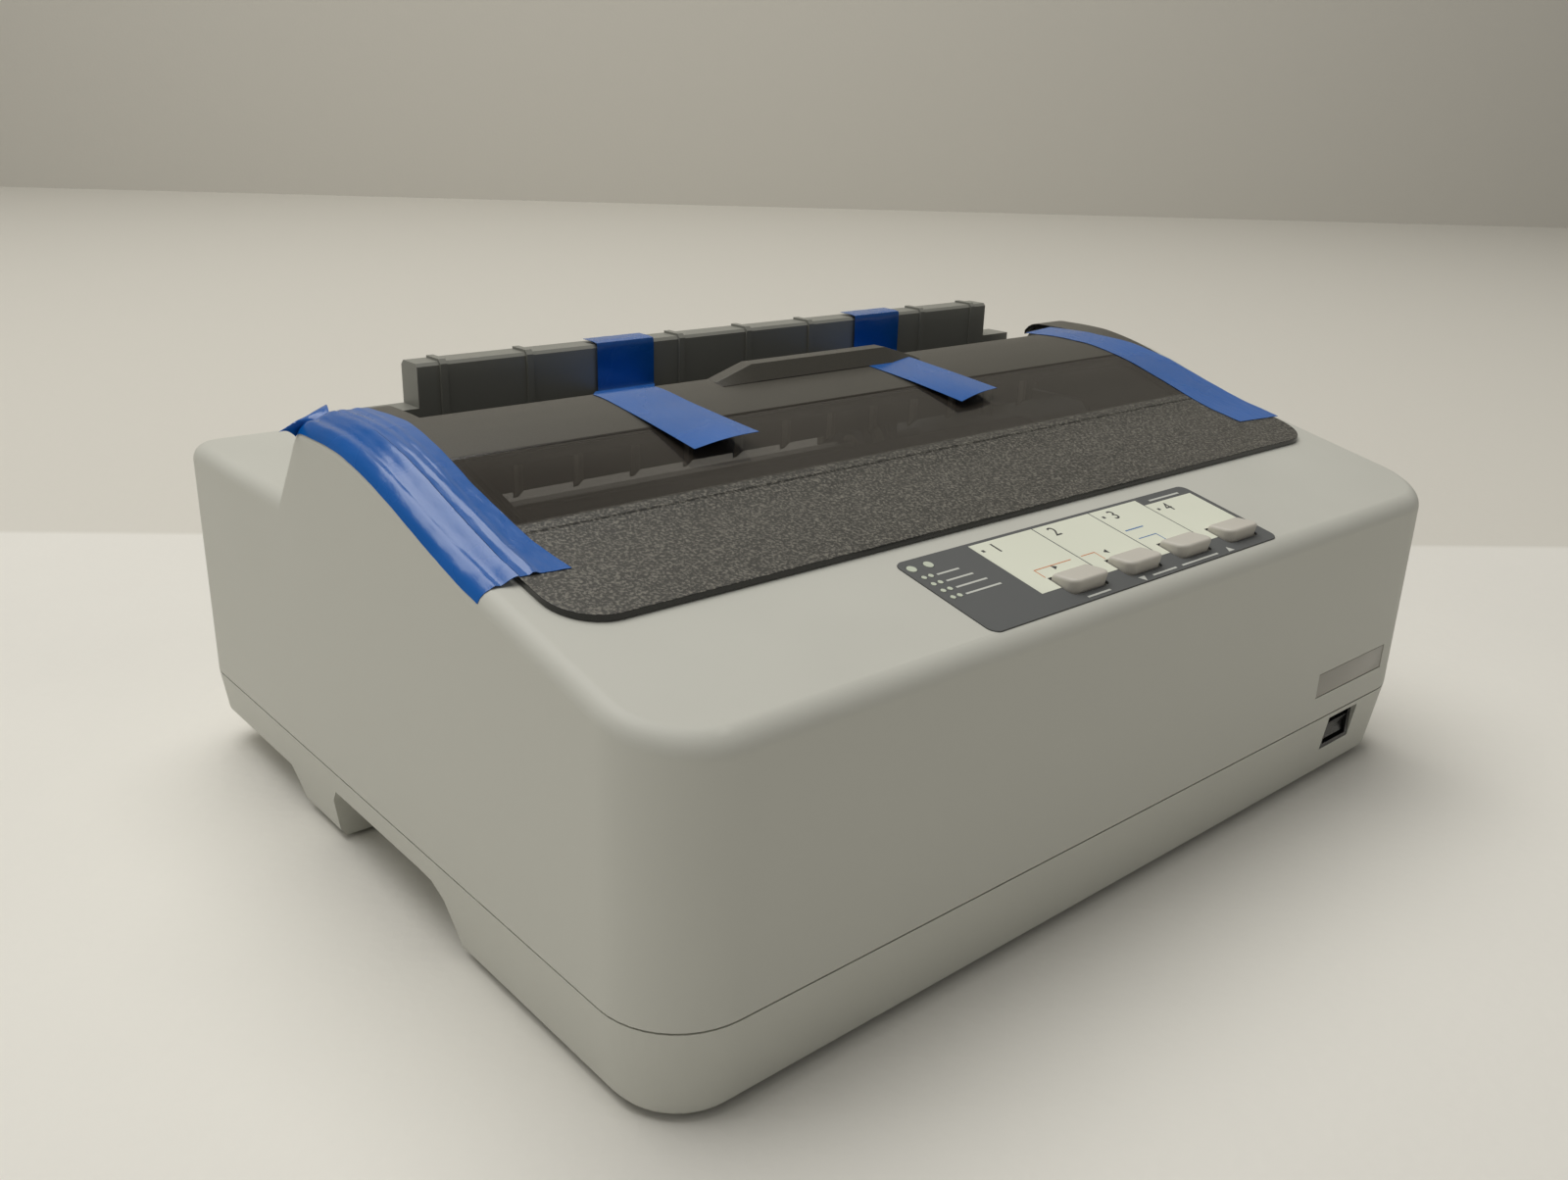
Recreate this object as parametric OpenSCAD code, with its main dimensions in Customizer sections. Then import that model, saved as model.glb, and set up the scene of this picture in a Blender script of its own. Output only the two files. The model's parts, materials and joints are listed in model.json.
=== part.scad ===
// Desktop dot matrix printer: a two-part case with a smoked cover hinged at its front edge,
// a carriage mechanism on a metal chassis, a platen with its gear train, and a rear tractor feed.
// X runs across the printer, Y to the rear and Z up. Lengths are in millimetres.

/* [Case] */
// Width of the case, without the platen knob
body_w = 348; // [344:1:356]
// Depth of the case
body_d = 275; // [273:1:285]
// Height of the front edge of the case
front_h = 100.4; // [98.6:0.2:102]
// Slope of the front deck in degrees
deck_slope = 12.4; // [11.8:0.1:12.8]
// Height of the highest part of the case
hump_h = 136.9; // [135.9:0.1:139]
// Height of the two rear shoulders
shoulder_h = 110.5; // [109.6:0.1:112]
// Height of the seam between the lower and the upper case
seam_h = 28.5; // [27.5:0.1:29.5]
// Wall thickness of both case halves
wall = 3; // [2.4:0.1:3.2]
// Plan radius of the two front corners
front_r = 23; // [18:1:26]
// Plan radius of the two rear corners
rear_r = 11; // [8:1:13]
// Radius of the rounded top edge
edge_r = 5; // [3.5:0.5:6]
// How far the lower case tapers inwards at its foot
foot_taper = 3.3; // [2:0.1:4]
// Height of the rubber feet below the lower case
foot_h = 1.5; // [1:0.1:2]
// Width of the rail on each side of the mechanism bay
rail_w = 24; // [23:0.5:25]

/* [Cover] */
// Thickness of the smoked cover
cover_t = 1.7; // [1.4:0.1:2]
// How far the cover laps over each side rail
rail_lap = 13.3; // [12:0.1:14]
// Plan radius of the cover's front corners
cover_r = 14; // [10:1:18]
// Half of the width of the finger grip
grip_hw = 31; // [26:1:36]
// Height of the finger grip above the cover
grip_h = 4; // [3.6:0.1:4.5]

/* [Paper feed] */
// Radius of the platen rubber
platen_r = 13; // [12.6:0.1:13.2]
// Radius of the platen shaft
platen_shaft_r = 4; // [3.5:0.1:4.4]
// Teeth of the platen gear
platen_teeth = 36; // [34:2:36]
// Teeth of the gear on the tractor shaft
tractor_teeth = 34; // [32:1:34]
// How far the platen knob stands out of the case
knob_out = 14; // [12:0.5:18]
// Radius of the platen knob
knob_r = 15; // [12:0.5:18]

/* [Carriage] */
// Radius of the carriage shaft
carriage_shaft_r = 4.5; // [4:0.1:5]
// Width of the carriage
carriage_w = 44; // [40:1:46]
// Gap between the carriage and a side frame at each end of its travel
end_gap = 21; // [20:1:29]
// Height of the carriage belt
belt_h = 6; // [5:0.5:7]

/* [Tractor] */
// Pins on each pin wheel
wheel_pins = 6; // [6:1:6]
// Width of each tractor
tractor_w = 16; // [15:0.5:18]

/* [Hidden] */
$fn = 48;
hw = body_w / 2;
hd = body_d / 2;
fit = 0.03;          // gap of a pressed or keyed fit
run = 0.05;          // gap of a running fit
seat = 0.3;          // gap between seated pieces that aren't pressed together
e = 1;               // how far a cut runs past a face

// Side profile of the upper case: the height of its top at a given depth.
deck_end_y = -60;
deck_end_z = front_h + (deck_end_y + hd) * tan(deck_slope);
TOP = concat(
    [[-hd, front_h], [deck_end_y, deck_end_z]],
    [for (p = [[-40, 13.4], [-22, 7.4], [-10, 3.9], [0, 1.7], [10, 0.3], [20, 0], [31, 0.1],
               [34, 0.7], [36.5, 2.1], [38.2, 4], [39.5, 6]]) [p[0], hump_h - p[1]]],
    [[54.5, shoulder_h], [hd, shoulder_h]]);
TOP_Y = [for (p = TOP) if (p[0] > -hd + front_r && p[0] < hd - rear_r) p[0]];
function top_z(y) = lookup(y, TOP);

// Places across the width, from the middle outwards.
bay_hw = hw - rail_w;              // mechanism bay
cover_hw = bay_hw + rail_lap;      // cover
frame_x = bay_hw - 6;              // outer face of a side frame
frame_t = 3;
frame_in = frame_x - frame_t;      // inner face of a side frame
tail_hw = bay_hw - 10;             // rear opening above the tractors
platen_hl = frame_in - 12;
gear_gap = 5;
gear_w = 4;
gear_x = -frame_x - gear_gap - gear_w;

// Places from front to rear.
bay_y0 = -86;                      // front edge of the bay
bay_y1 = 44;                       // rear edge of the bay
cover_y0 = -90;                    // front edge of the cover
cover_y1 = 13;                     // rear edge of the cover between its two arms
cover_y2 = 38;                     // rear end of the cover's arms
cover_arm_x = bay_hw - 3;
bar_y = 47;                        // front face of the exit bar
bar_d = 10.5;
bar_hw = bay_hw - 19.5;
bar_top = hump_h + 9.7;
bar_strip_z = [hump_h - 9.1, hump_h - 3.9];
bar_rib_pitch = (bar_hw - 8.7) / 4;

// Chassis and mechanism.
plate_t = 1.5;
plate_z = seam_h + 5.5;            // underside of the chassis plate
deck_z = plate_z + plate_t;        // top of the chassis plate
plate_y0 = -76;
plate_y1 = 70;
plate_hw = frame_x + 2;
rail_y = -75.2;                    // middle of the front guide rail
rail_t = 1.5;
rail_top = deck_z + 34.5;
platen_y = 20;
platen_z = 90;
carriage_y = -34;
carriage_z = 72;
carriage_travel = 2 * (frame_in - carriage_w / 2 - end_gap);
carriage_home = -carriage_travel / 2;
head_z = 90;
nose_y = platen_y - platen_r - 2.4;
ribbon_y = platen_y - platen_r - 2;
mask_y = platen_y - platen_r - 1.4;
pulley_x = frame_in - 23;
pulley_y = -56;
pulley_r = 7.6;
belt_t = 1;
belt_z = deck_z + 22.5;
carriage_motor_r = 17;
carriage_motor_h = 18;

// Gear train on the left: motor pinion, idler, then platen gear and tractor gear.
gear_m = 1.25;
idler_teeth = 24;
pinion_teeth = 15;
mesh_gap = 0.15;
backlash = 0.12;
function mesh_distance(a, b) = gear_m * (a + b) / 2 + mesh_gap;
idler_dir = -20;
idler_y = platen_y + mesh_distance(platen_teeth, idler_teeth) * cos(idler_dir);
idler_z = platen_z + mesh_distance(platen_teeth, idler_teeth) * sin(idler_dir);
tractor_drop = 31.6;               // tractor shaft below the shoulders
tractor_dir = asin((shoulder_h - tractor_drop - idler_z) / mesh_distance(idler_teeth, tractor_teeth));
pinion_dir = -75.7 + tractor_dir / 4;
pinion_y = idler_y + mesh_distance(idler_teeth, pinion_teeth) * cos(pinion_dir);
pinion_z = idler_z + mesh_distance(idler_teeth, pinion_teeth) * sin(pinion_dir);
tractor_y = idler_y + mesh_distance(idler_teeth, tractor_teeth) * cos(tractor_dir);
tractor_z = idler_z + mesh_distance(idler_teeth, tractor_teeth) * sin(tractor_dir);
// Turn that puts a tooth gap of gear b opposite a tooth of gear a, seen along direction dir.
function mesh_phase(dir, na, turn_a, nb) =
    dir + 180 - 360 / nb * (0.5 - (dir - turn_a) * na / 360);
idler_turn = mesh_phase(idler_dir, platen_teeth, 0, idler_teeth);
pinion_turn = mesh_phase(pinion_dir, idler_teeth, idler_turn, pinion_teeth);
tractor_turn = mesh_phase(tractor_dir, idler_teeth, idler_turn, tractor_teeth);
feed_motor_r = 17.5;
feed_motor_l = 19;
motor_shaft_r = 2.5;
idler_pin_r = 3;
bush_r = 7;

// Pinch rollers under the platen.
pinch_r = 5;
pinch_axle_r = 2;
pinch_dir = -60;
pinch_y = platen_y + (platen_r + pinch_r + seat) * cos(pinch_dir);
pinch_z = platen_z + (platen_r + pinch_r + seat) * sin(pinch_dir);
pinch_x = [-84, 0, 84];
pinch_l = 26;

// Tractors.
tractor_shaft_w = 6;
journal_r = 2.9;
hub_r = 6;
wheel_r = 12.1;
wheel_w = 5;
pin_r = 1.7;
pin_h = 2.2;
support_dy = 17;
support_dz = -8;
support_y = tractor_y + support_dy;
support_z = tractor_z + support_dz;
support_r = 3;
tractor_x = frame_in - 35;
flap_t = 2.2;

// Control panel, measured along the deck from the front edge and across its normal.
panel_x0 = -67;
panel_x1 = 68;
panel_u0 = 4.6;
panel_u1 = 42;
panel_t = 0.8;
panel_proud = 0.3;
button_x = [-22, 3.5, 29, 54.5];
button_u = 13.3;
button_w = 15.6;
button_l = 9;
button_gap = 0.35;
button_travel = 1.2;
board_t = 1.6;
panel_board_w = -12;
lamp_spots = concat([[-64, 37.8, 1.5], [-57.5, 37.8, 1.5]],
    [for (row = [0 : 3]) for (col = [0, 1]) [-64 + 2.6 * col, 33 - 3.6 * row, 0.8]]);

// Power switch in the front of the lower case.
switch_x = [hw - 56.5, hw - 36.5];
switch_z = [13, 26.2];
switch_d = 14;
switch_in = 2.2;                   // depth of the switch's face behind the case front
rocker_pin_r = 1;
rocker_y = -hd + switch_in + 7.1;
rocker_rest = 7;                   // turn of the rocker at rest, in degrees
rocker_z = (switch_z[0] + switch_z[1]) / 2;

// Case screws and feet.
screw_spots = [for (sx = [-1, 1]) for (sy = [-1, 1]) [sx * (hw - 14), sy * (hd - 19.5)]];
screw_seat = 20;
screw_r = 2;
screw_head_r = 4;
chassis_spots = [for (sx = [-1, 1]) for (y = [-58, 54]) [sx * (frame_x - 24), y]];
foot_spots = [for (sx = [-1, 1]) for (y = [25.5 - hd, 50]) [sx * (hw - 34), y]];
foot_r = 8;
rear_floor = 13.5;

// Rear sheet guide.
guide_hw = bar_hw - 2;
guide_y = bar_y + bar_d + 6;
guide_z = bar_strip_z[0] - 0.3;
guide_l = hd - 4 - guide_y;
guide_rise = 1.61;                 // rear end of the guide above the shoulders
guide_slope = asin((guide_z - shoulder_h - guide_rise) / guide_l);
guide_t = 2.2;
guide_pin_r = 2;
guide_slots = [22, guide_l - 20];
guide_foot_y = hd - 11;
guide_rest_z = shoulder_h - 6.5;
edge_guide_x = guide_hw - 43.5;
function guide_at(y) = guide_z - (y - guide_y) * tan(guide_slope);

// ---- Shared shapes ----

module slab(x, y, z) {
    translate([x[0], y[0], z[0]]) cube([x[1] - x[0], y[1] - y[0], z[1] - z[0]]);
}

// A profile drawn in Y and Z, drawn out across X.
module x_profile(x0, x1) {
    translate([x0, 0, 0]) rotate([90, 0, 90]) linear_extrude(x1 - x0) children();
}

module x_rod(x0, x1, y, z, r) {
    translate([x0, y, z]) rotate([0, 90, 0]) cylinder(r = r, h = x1 - x0);
}

module z_rod(x, y, z0, z1, r) {
    translate([x, y, z0]) cylinder(r = r, h = z1 - z0);
}

module both_sides() {
    children();
    mirror([1, 0, 0]) children();
}

// Rounded rectangle from corner a to corner b.
module round_rect(a, b, r) {
    translate([a[0] + r, a[1]]) square([b[0] - a[0] - 2 * r, b[1] - a[1]]);
    translate([a[0], a[1] + r]) square([b[0] - a[0], b[1] - a[1] - 2 * r]);
    for (x = [a[0] + r, b[0] - r]) for (y = [a[1] + r, b[1] - r]) translate([x, y]) circle(r);
}

// Places children on the sloping deck: X across, Y up the slope, Z out of the deck.
module on_deck() {
    translate([0, -hd, front_h]) rotate([deck_slope, 0, 0]) children();
}

// Places children on the rear sheet guide, from its hinge axis.
module on_guide() {
    translate([0, guide_y, guide_z]) rotate([-guide_slope, 0, 0]) children();
}

front_steps = 11;                  // facets round each front corner
rear_steps = 6;
edge_step = 18;                    // turn of each facet of the rounded top edge, in degrees
// Right half of the plan outline, drawn in by inset, from the front to the rear.
function half_plan(inset) = concat(
    [for (i = [0 : front_steps]) let (a = -90 + i * 90 / front_steps)
        [hw - front_r + (front_r - inset) * cos(a), -hd + front_r + (front_r - inset) * sin(a)]],
    [for (y = TOP_Y) [hw - inset, y]],
    [for (i = [0 : rear_steps]) let (a = i * 90 / rear_steps)
        [hw - rear_r + (rear_r - inset) * cos(a), hd - rear_r + (rear_r - inset) * sin(a)]]);

function plan(inset) = let (right = half_plan(inset), n = len(right))
    concat(right, [for (i = [n - 1 : -1 : 0]) [-right[i][0], right[i][1]]]);

// One ring of points: at a flat height, or hung below the top profile.
function flat_ring(inset, z) = [for (p = plan(inset)) [p[0], p[1], z]];
function top_ring(inset, drop) = [for (p = plan(inset)) [p[0], p[1], top_z(p[1]) - drop]];

// Closed solid through rings of equal length, capped across the width at both ends.
module skin(rings) {
    m = len(rings[0]);
    last = len(rings) - 1;
    points = [for (ring = rings) for (p = ring) p];
    walls = [for (k = [0 : last - 1]) for (i = [0 : m - 1]) let (j = (i + 1) % m)
        for (t = [0, 1]) t == 0 ? [k * m + i, (k + 1) * m + i, (k + 1) * m + j]
                                : [k * m + i, (k + 1) * m + j, k * m + j]];
    floor_cap = [for (i = [0 : m / 2 - 2]) let (a = m - 1 - i)
        for (t = [0, 1]) t == 0 ? [i, i + 1, a - 1] : [i, a - 1, a]];
    top_cap = [for (i = [0 : m / 2 - 2]) let (a = m - 1 - i, s = last * m)
        for (t = [0, 1]) t == 0 ? [s + i, s + a - 1, s + i + 1] : [s + i, s + a, s + a - 1]];
    polyhedron(points = points, faces = concat(walls, floor_cap, top_cap), convexity = 6);
}

// ---- Case ----

// Side profile of the hand hold arch in the lower case, grown by g.
module arch_profile(g) {
    polygon([[-42 - g, -e], [-42 - g, 2], [-39 - g, 9 + g / 2], [-35 - g * 0.8, 16 + g * 0.6],
        [-29 - g * 0.4, 19.6 + g], [-22, 20 + g], [34 + g * 0.4, 20 + g], [38 + g, 15 + g / 2],
        [38 + g, -e]]);
}

// Side profile of the raised rear floor, grown by g.
module rear_profile(g) {
    polygon([[62 - g, -e], [62 - g, 2], [72 - g, rear_floor + g], [hd + e, rear_floor + g],
        [hd + e, -e]]);
}

arch_x = hw - 36;

module lower_case() {
    color("gainsboro")
    difference() {
        union() {
            difference() {
                skin([flat_ring(foot_taper + 2, foot_h), flat_ring(foot_taper, foot_h + 2.5),
                      flat_ring(0, seam_h)]);
                difference() {
                    skin([flat_ring(foot_taper + wall, foot_h + wall),
                          flat_ring(wall - 0.1, seam_h + e)]);
                    both_sides() x_profile(arch_x - wall, hw + e) arch_profile(wall);
                    x_profile(-hw - e, hw + e) rear_profile(wall);
                }
            }
            for (p = screw_spots)
                z_rod(p[0], p[1], p[1] > 0 ? rear_floor + 1 : foot_h + 1, seam_h, 5.5);
            for (p = chassis_spots) z_rod(p[0], p[1], foot_h + 1, plate_z, 5);
            for (x = [board_x[0] + 7, -30, board_x[1] - 13]) for (y = [hd - 52, hd - 16])
                z_rod(x, y, rear_floor + 1, board_z, 3);
            for (x = [power_x + 8, power_x + 58]) for (y = [hd - 52, hd - 16])
                z_rod(x, y, rear_floor + 1, power_z, 3);
        }
        both_sides() x_profile(arch_x, hw + e) arch_profile(0);
        x_profile(-hw - e, hw + e) rear_profile(0);
        for (p = screw_spots) {
            z_rod(p[0], p[1], -e, screw_seat, screw_head_r + 0.5);
            z_rod(p[0], p[1], 0, seam_h + e, screw_r + seat);
        }
        for (p = foot_spots) z_rod(p[0], p[1], -e, foot_h + 1, foot_r + fit);
        slab(switch_x, [-hd - e, -hd + wall + 6], switch_z);
        // Cooling slots in the floor under the mechanism.
        for (i = [-3 : 3]) slab([i * 22 - 1.5, i * 22 + 1.5], [-30, 20], [0, foot_h + wall + e]);
    }
}

board_x = [52 - hw, 58];
power_x = hw - 104;                // left edge of the power unit
board_z = seam_h - 0.5;            // underside of the main board
power_z = rear_floor + wall + 3;   // underside of the power unit's board

// Inside of the upper case, drawn in by the wall.
module upper_cavity() {
    intersection() {
        x_profile(-hw, hw) polygon(concat(
            [for (p = TOP) if (p[0] > -hd && p[0] < 33) [p[0], p[1] - wall]],
            [[35, hump_h - wall - 1.7], [37.1, hump_h - wall - 4.7],
             [52.9, shoulder_h - wall], [hd - wall, shoulder_h - wall],
             [hd - wall, seam_h - e], [-hd + wall, seam_h - e],
             [-hd + wall, top_z(-hd + wall) - wall]]));
        translate([0, 0, seam_h - e]) linear_extrude(hump_h) polygon(plan(wall));
    }
}

// Thin skirt that stiffens the edge of the bay under each rail.
module bay_skirt() {
    skirt_y = [for (p = TOP) if (p[0] > bay_y0 && p[0] < 36) p[0]];
    x_profile(bay_hw, bay_hw + 2) polygon(concat(
        [for (y = skirt_y) [y, top_z(y) - wall / 2]],
        [for (i = [len(skirt_y) - 1 : -1 : 0]) [skirt_y[i], top_z(skirt_y[i]) - wall - 5]]));
}

tail_z = 66;                       // lower edge of the rear opening
skirt_z = shoulder_h - 12.5;
plate_x = [hw - 70.5, hw - 24.5];
plate_mark_z = [37.5, 46.5];

module upper_case() {
    color("gainsboro")
    difference() {
        union() {
            difference() {
                skin([flat_ring(0, seam_h),
                      for (a = [0 : edge_step : 90])
                          top_ring(edge_r * (1 - cos(a)), edge_r * (1 - sin(a)))]);
                upper_cavity();
                slab([-bay_hw, bay_hw], [bay_y0, bay_y1], [plate_z, hump_h + e]);
                slab([-tail_hw, tail_hw], [bay_y1 - e, hd + e], [tail_z, hump_h + e]);
            }
            both_sides() {
                bay_skirt();
                slab([tail_hw, tail_hw + 2], [57, hd - wall / 2], [skirt_z, shoulder_h - wall / 2]);
                // Ledges for the ends of the exit bar and for the rear of the sheet guide.
                slab([tail_hw - 8, tail_hw + 1], [bar_y, bar_y + bar_d], [skirt_z, bar_seat_z - seat]);
                slab([tail_hw, tail_hw + 2], [bar_y, 58], [skirt_z, bar_seat_z - seat]);
                slab([guide_hw - 8, tail_hw + 1], [guide_foot_y - 4, guide_foot_y + 4],
                     [skirt_z, guide_rest_z - seat]);
                slab([tail_hw, tail_hw + 12], [57, 60], [skirt_z, shoulder_h - wall / 2]);
            }
            for (p = screw_spots) z_rod(p[0], p[1], seam_h, top_z(p[1]) - wall / 2, 4.5);
            on_deck() for (x = [-48, 67]) for (u = [8, 39])
                z_rod(x, u, panel_board_w + board_t, -wall / 2, 2.5);
        }
        for (p = screw_spots) z_rod(p[0], p[1], seam_h - e, seam_h + 14, screw_r + fit);
        on_deck() {
            translate([0, 0, panel_proud - panel_t]) linear_extrude(panel_t + e)
                round_rect([panel_x0 - 0.1, panel_u0 - 0.1], [panel_x1 + 0.1, panel_u1 + 0.1], 3.1);
            for (x = button_x) translate([x, button_u, -wall - e])
                linear_extrude(wall + 2 * e) round_rect(
                    [-button_w / 2 - button_gap, -button_l / 2 - button_gap],
                    [button_w / 2 + button_gap, button_l / 2 + button_gap], 1.5);
            for (s = lamp_spots) z_rod(s[0], s[1], -wall - 2 * e, e, s[2] + 0.15);
        }
        // Shallow bare recess for the rating plate at the front.
        slab(plate_x, [-hd - e, -hd + 0.6], plate_mark_z);
        x_rod(hw - wall - e, hw + e, platen_y, platen_z, platen_shaft_r + 2);
        // Cut-outs in the rear wall for the sockets.
        for (p = port_spots)
            slab([p[0] - seat, p[1] + seat], [hd - wall - e, hd + e], [p[2] - seat, p[3] + seat]);
        slab([inlet_x[0] - seat, inlet_x[1] + seat], [hd - wall - e, hd + e],
             [inlet_z[0] - seat, inlet_z[1] + seat]);
        // Louvres low on the right side, where warm air leaves the power unit.
        for (i = [0 : 9])
            slab([hw - wall - e, hw + e], [hd - 69.5 + 5 * i, hd - 67.5 + 5 * i], [44, 62]);
    }
}

module rubber_feet() {
    color("dimgray") for (p = foot_spots) {
        z_rod(p[0], p[1], 0.4, foot_h + 1, foot_r);
        translate([p[0], p[1], 0]) cylinder(r1 = foot_r - 0.4, r2 = foot_r, h = 0.4);
    }
}

module case_screws() {
    color("silver") for (p = screw_spots) difference() {
        union() {
            z_rod(p[0], p[1], screw_seat - 2.6, screw_seat, screw_head_r);
            z_rod(p[0], p[1], screw_seat - e, seam_h + 12, screw_r);
        }
        for (a = [0, 90]) translate([p[0], p[1], screw_seat - 2.6]) rotate([0, 0, a])
            cube([4.4, 0.9, 2.4], center = true);
    }
}

// ---- Cover ----

cover_lift = seat;
module cover_profile(low, high) {
    ys = concat([cover_y0], [for (p = TOP) if (p[0] > cover_y0 && p[0] < cover_y2) p[0]], [cover_y2]);
    polygon(concat([for (y = ys) [y, top_z(y) + high]],
        [for (i = [len(ys) - 1 : -1 : 0]) [ys[i], top_z(ys[i]) + low]]));
}

module cover_plan() {
    difference() {
        union() {
            translate([-cover_hw + cover_r, cover_y0]) square([2 * (cover_hw - cover_r), cover_r + e]);
            translate([-cover_hw, cover_y0 + cover_r])
                square([2 * cover_hw, cover_y2 - cover_y0 - cover_r + e]);
            both_sides() translate([cover_hw - cover_r, cover_y0 + cover_r]) circle(cover_r);
        }
        translate([-cover_arm_x, cover_y1]) square([2 * cover_arm_x, 60]);
    }
}

hinge_y = cover_y0;
hinge_z = top_z(cover_y0) + cover_lift;
hook_in = 5.5;
hook_out = 8;

grip_z = top_z(cover_y1) + cover_lift + cover_t;
module grip_profile() {
    polygon([[cover_y1 - 13, grip_z - 1.2], [cover_y1 - 3, grip_z + grip_h],
        [cover_y1, grip_z + grip_h], [cover_y1, grip_z - 1.2]]);
}

module printer_cover() {
    color([0.32, 0.31, 0.29, 0.8]) {
        difference() {
            union() {
                intersection() {
                    x_profile(-cover_hw, cover_hw) cover_profile(cover_lift, cover_lift + cover_t);
                    linear_extrude(hump_h + 2 * bar_d) cover_plan();
                }
                // Ribs under the cover that drop into the bay.
                intersection() {
                    x_profile(-cover_hw, cover_hw) cover_profile(cover_lift - 3.5, cover_lift + e / 2);
                    union() {
                        both_sides() slab([bay_hw - 3, bay_hw - 1.5], [bay_y0 + 2, cover_y1], [0, 200]);
                        for (y = [-58, -14]) slab([-bay_hw + 2, bay_hw - 2], [y, y + 1.5], [0, 200]);
                    }
                }
                // Finger grip: a scoop that rises towards the rear edge.
                x_profile(-grip_hw, grip_hw) grip_profile();
                both_sides() intersection() {
                    x_profile(grip_hw - 0.01, grip_hw + 18) grip_profile();
                    translate([0, cover_y1 + e, 0]) rotate([90, 0, 0]) linear_extrude(16)
                        polygon([[grip_hw - 0.01, grip_z - 1], [grip_hw + 18, grip_z - 1],
                                 [grip_hw - 0.01, grip_z + grip_h]]);
                }
                // Two hooks that reach round the front edge of the bay.
                for (x = [30 - bay_hw, bay_hw - 30]) x_profile(x - 5, x + 5)
                    translate([hinge_y, hinge_z]) intersection() {
                        difference() {
                            circle(hook_out);
                            circle(hook_in);
                        }
                        polygon([[0, 2.4], [20, 2.4], [20, -20], [-2, -20]]);
                    }
            }
            // Hollow under the finger grip.
            x_profile(-grip_hw + 2, grip_hw - 2) polygon([[cover_y1 - 7, grip_z - 6],
                [cover_y1 - 7, grip_z - cover_t + 0.6], [cover_y1 - 2, grip_z + grip_h - cover_t],
                [cover_y1 + e, grip_z + grip_h - cover_t], [cover_y1 + e, grip_z - 6]]);
        }
    }
}

// ---- Paper exit bar and rear sheet guide ----

bar_seat_z = shoulder_h - 2.8;

module exit_bar() {
    color([0.22, 0.22, 0.2]) difference() {
        union() {
            x_profile(-bar_hw, bar_hw) polygon([[bar_y, bar_strip_z[0]], [bar_y, bar_top - 1],
                [bar_y + 1, bar_top], [bar_y + bar_d - 1.5, bar_top],
                [bar_y + bar_d, bar_top - 1.5], [bar_y + bar_d, bar_strip_z[0]]]);
            slab([-bay_hw + 3.5, bay_hw - 3.5], [bar_y, bar_y + bar_d], bar_strip_z);
            slab([-tail_hw + seat, tail_hw - seat], [bar_y, bar_y + bar_d],
                 [bar_seat_z, bar_strip_z[0] + e]);
            for (i = [-4 : 4]) x_profile(i * bar_rib_pitch - 1.2, i * bar_rib_pitch + 1.2)
                polygon([[bar_y - 0.8, bar_strip_z[0]], [bar_y - 0.8, bar_top - 0.6],
                    [bar_y + 0.6, bar_top + 0.8], [bar_y + bar_d - 2, bar_top + 0.8],
                    [bar_y + bar_d - 2, bar_top - 2], [bar_y + e, bar_strip_z[0]]]);
            // Ears that carry the hinge pins of the sheet guide.
            both_sides() x_profile(guide_hw + 0.8, guide_hw + 5) union() {
                translate([bar_y + bar_d - e, guide_z - 3.5]) square([guide_y - bar_y - bar_d + e, 7]);
                translate([guide_y, guide_z]) circle(3.5);
            }
        }
        both_sides() x_rod(guide_hw + 0.5, guide_hw + 6, guide_y, guide_z, guide_pin_r + run);
        // The bar is a hollow moulding, open below.
        slab([-bar_hw + 3, bar_hw - 3], [bar_y + 2, bar_y + bar_d - 2], [bar_seat_z - e, bar_top - 3]);
        // Paper and the front edge of the guide pass under the rear face.
        slab([-guide_hw - 0.5, guide_hw + 0.5], [bar_y + bar_d - 2.1, bar_y + bar_d + e],
             [bar_seat_z - e, guide_z - 8]);
    }
}

module sheet_guide() {
    color([0.24, 0.24, 0.22]) difference() {
        union() {
            on_guide() {
                x_profile(-guide_hw, guide_hw) polygon([[-1.5, -1.6], [-2.4, 0], [-1.5, 1.6],
                    [2, guide_t / 2], [guide_l, guide_t / 2], [guide_l + 1.5, 0],
                    [guide_l + 1.5, -4], [guide_l, -4], [guide_l, -guide_t / 2],
                    [2, -guide_t / 2]]);
                // Raised paper ribs along the guide.
                for (i = [-5 : 5]) let (x = i * (guide_hw - 8.5) / 5)
                    slab([x - 0.8, x + 0.8], [6, guide_l - 1], [0, guide_t / 2 + 1]);
            }
            both_sides() {
                x_rod(guide_hw - 2, guide_hw + 4.6, guide_y, guide_z, guide_pin_r);
                slab([guide_hw - 6, guide_hw - 1], [guide_foot_y - 2.5, guide_foot_y + 2.5],
                     [guide_rest_z, guide_at(guide_foot_y)]);
            }
        }
        // Two slots that guide the edge guides.
        on_guide() both_sides() for (u = guide_slots)
            slab([edge_guide_x - 61, guide_hw - 8.5], [u, u + 3], [-5, 5]);
    }
}

module edge_guide(side) {
    x = side * edge_guide_x;
    color([0.3, 0.3, 0.28]) on_guide() {
        slab([x - 9, x + 9], [14, guide_l - 10], [guide_t / 2 + 1 + seat, guide_t / 2 + 3.2]);
        slab([x + side * 6 - 1, x + side * 6 + 1], [10, guide_l - 8],
             [guide_t / 2 + 1 + seat, guide_t / 2 + 11]);
        for (u = guide_slots) {
            slab([x - 5, x + 5], [u + seat, u + 3 - seat], [-guide_t / 2 - 0.4, guide_t / 2 + 2]);
            slab([x - 5, x + 5], [u - 1.5, u + 4.5], [-guide_t / 2 - 1.8, -guide_t / 2 - seat]);
        }
    }
}

// ---- Control panel ----

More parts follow.
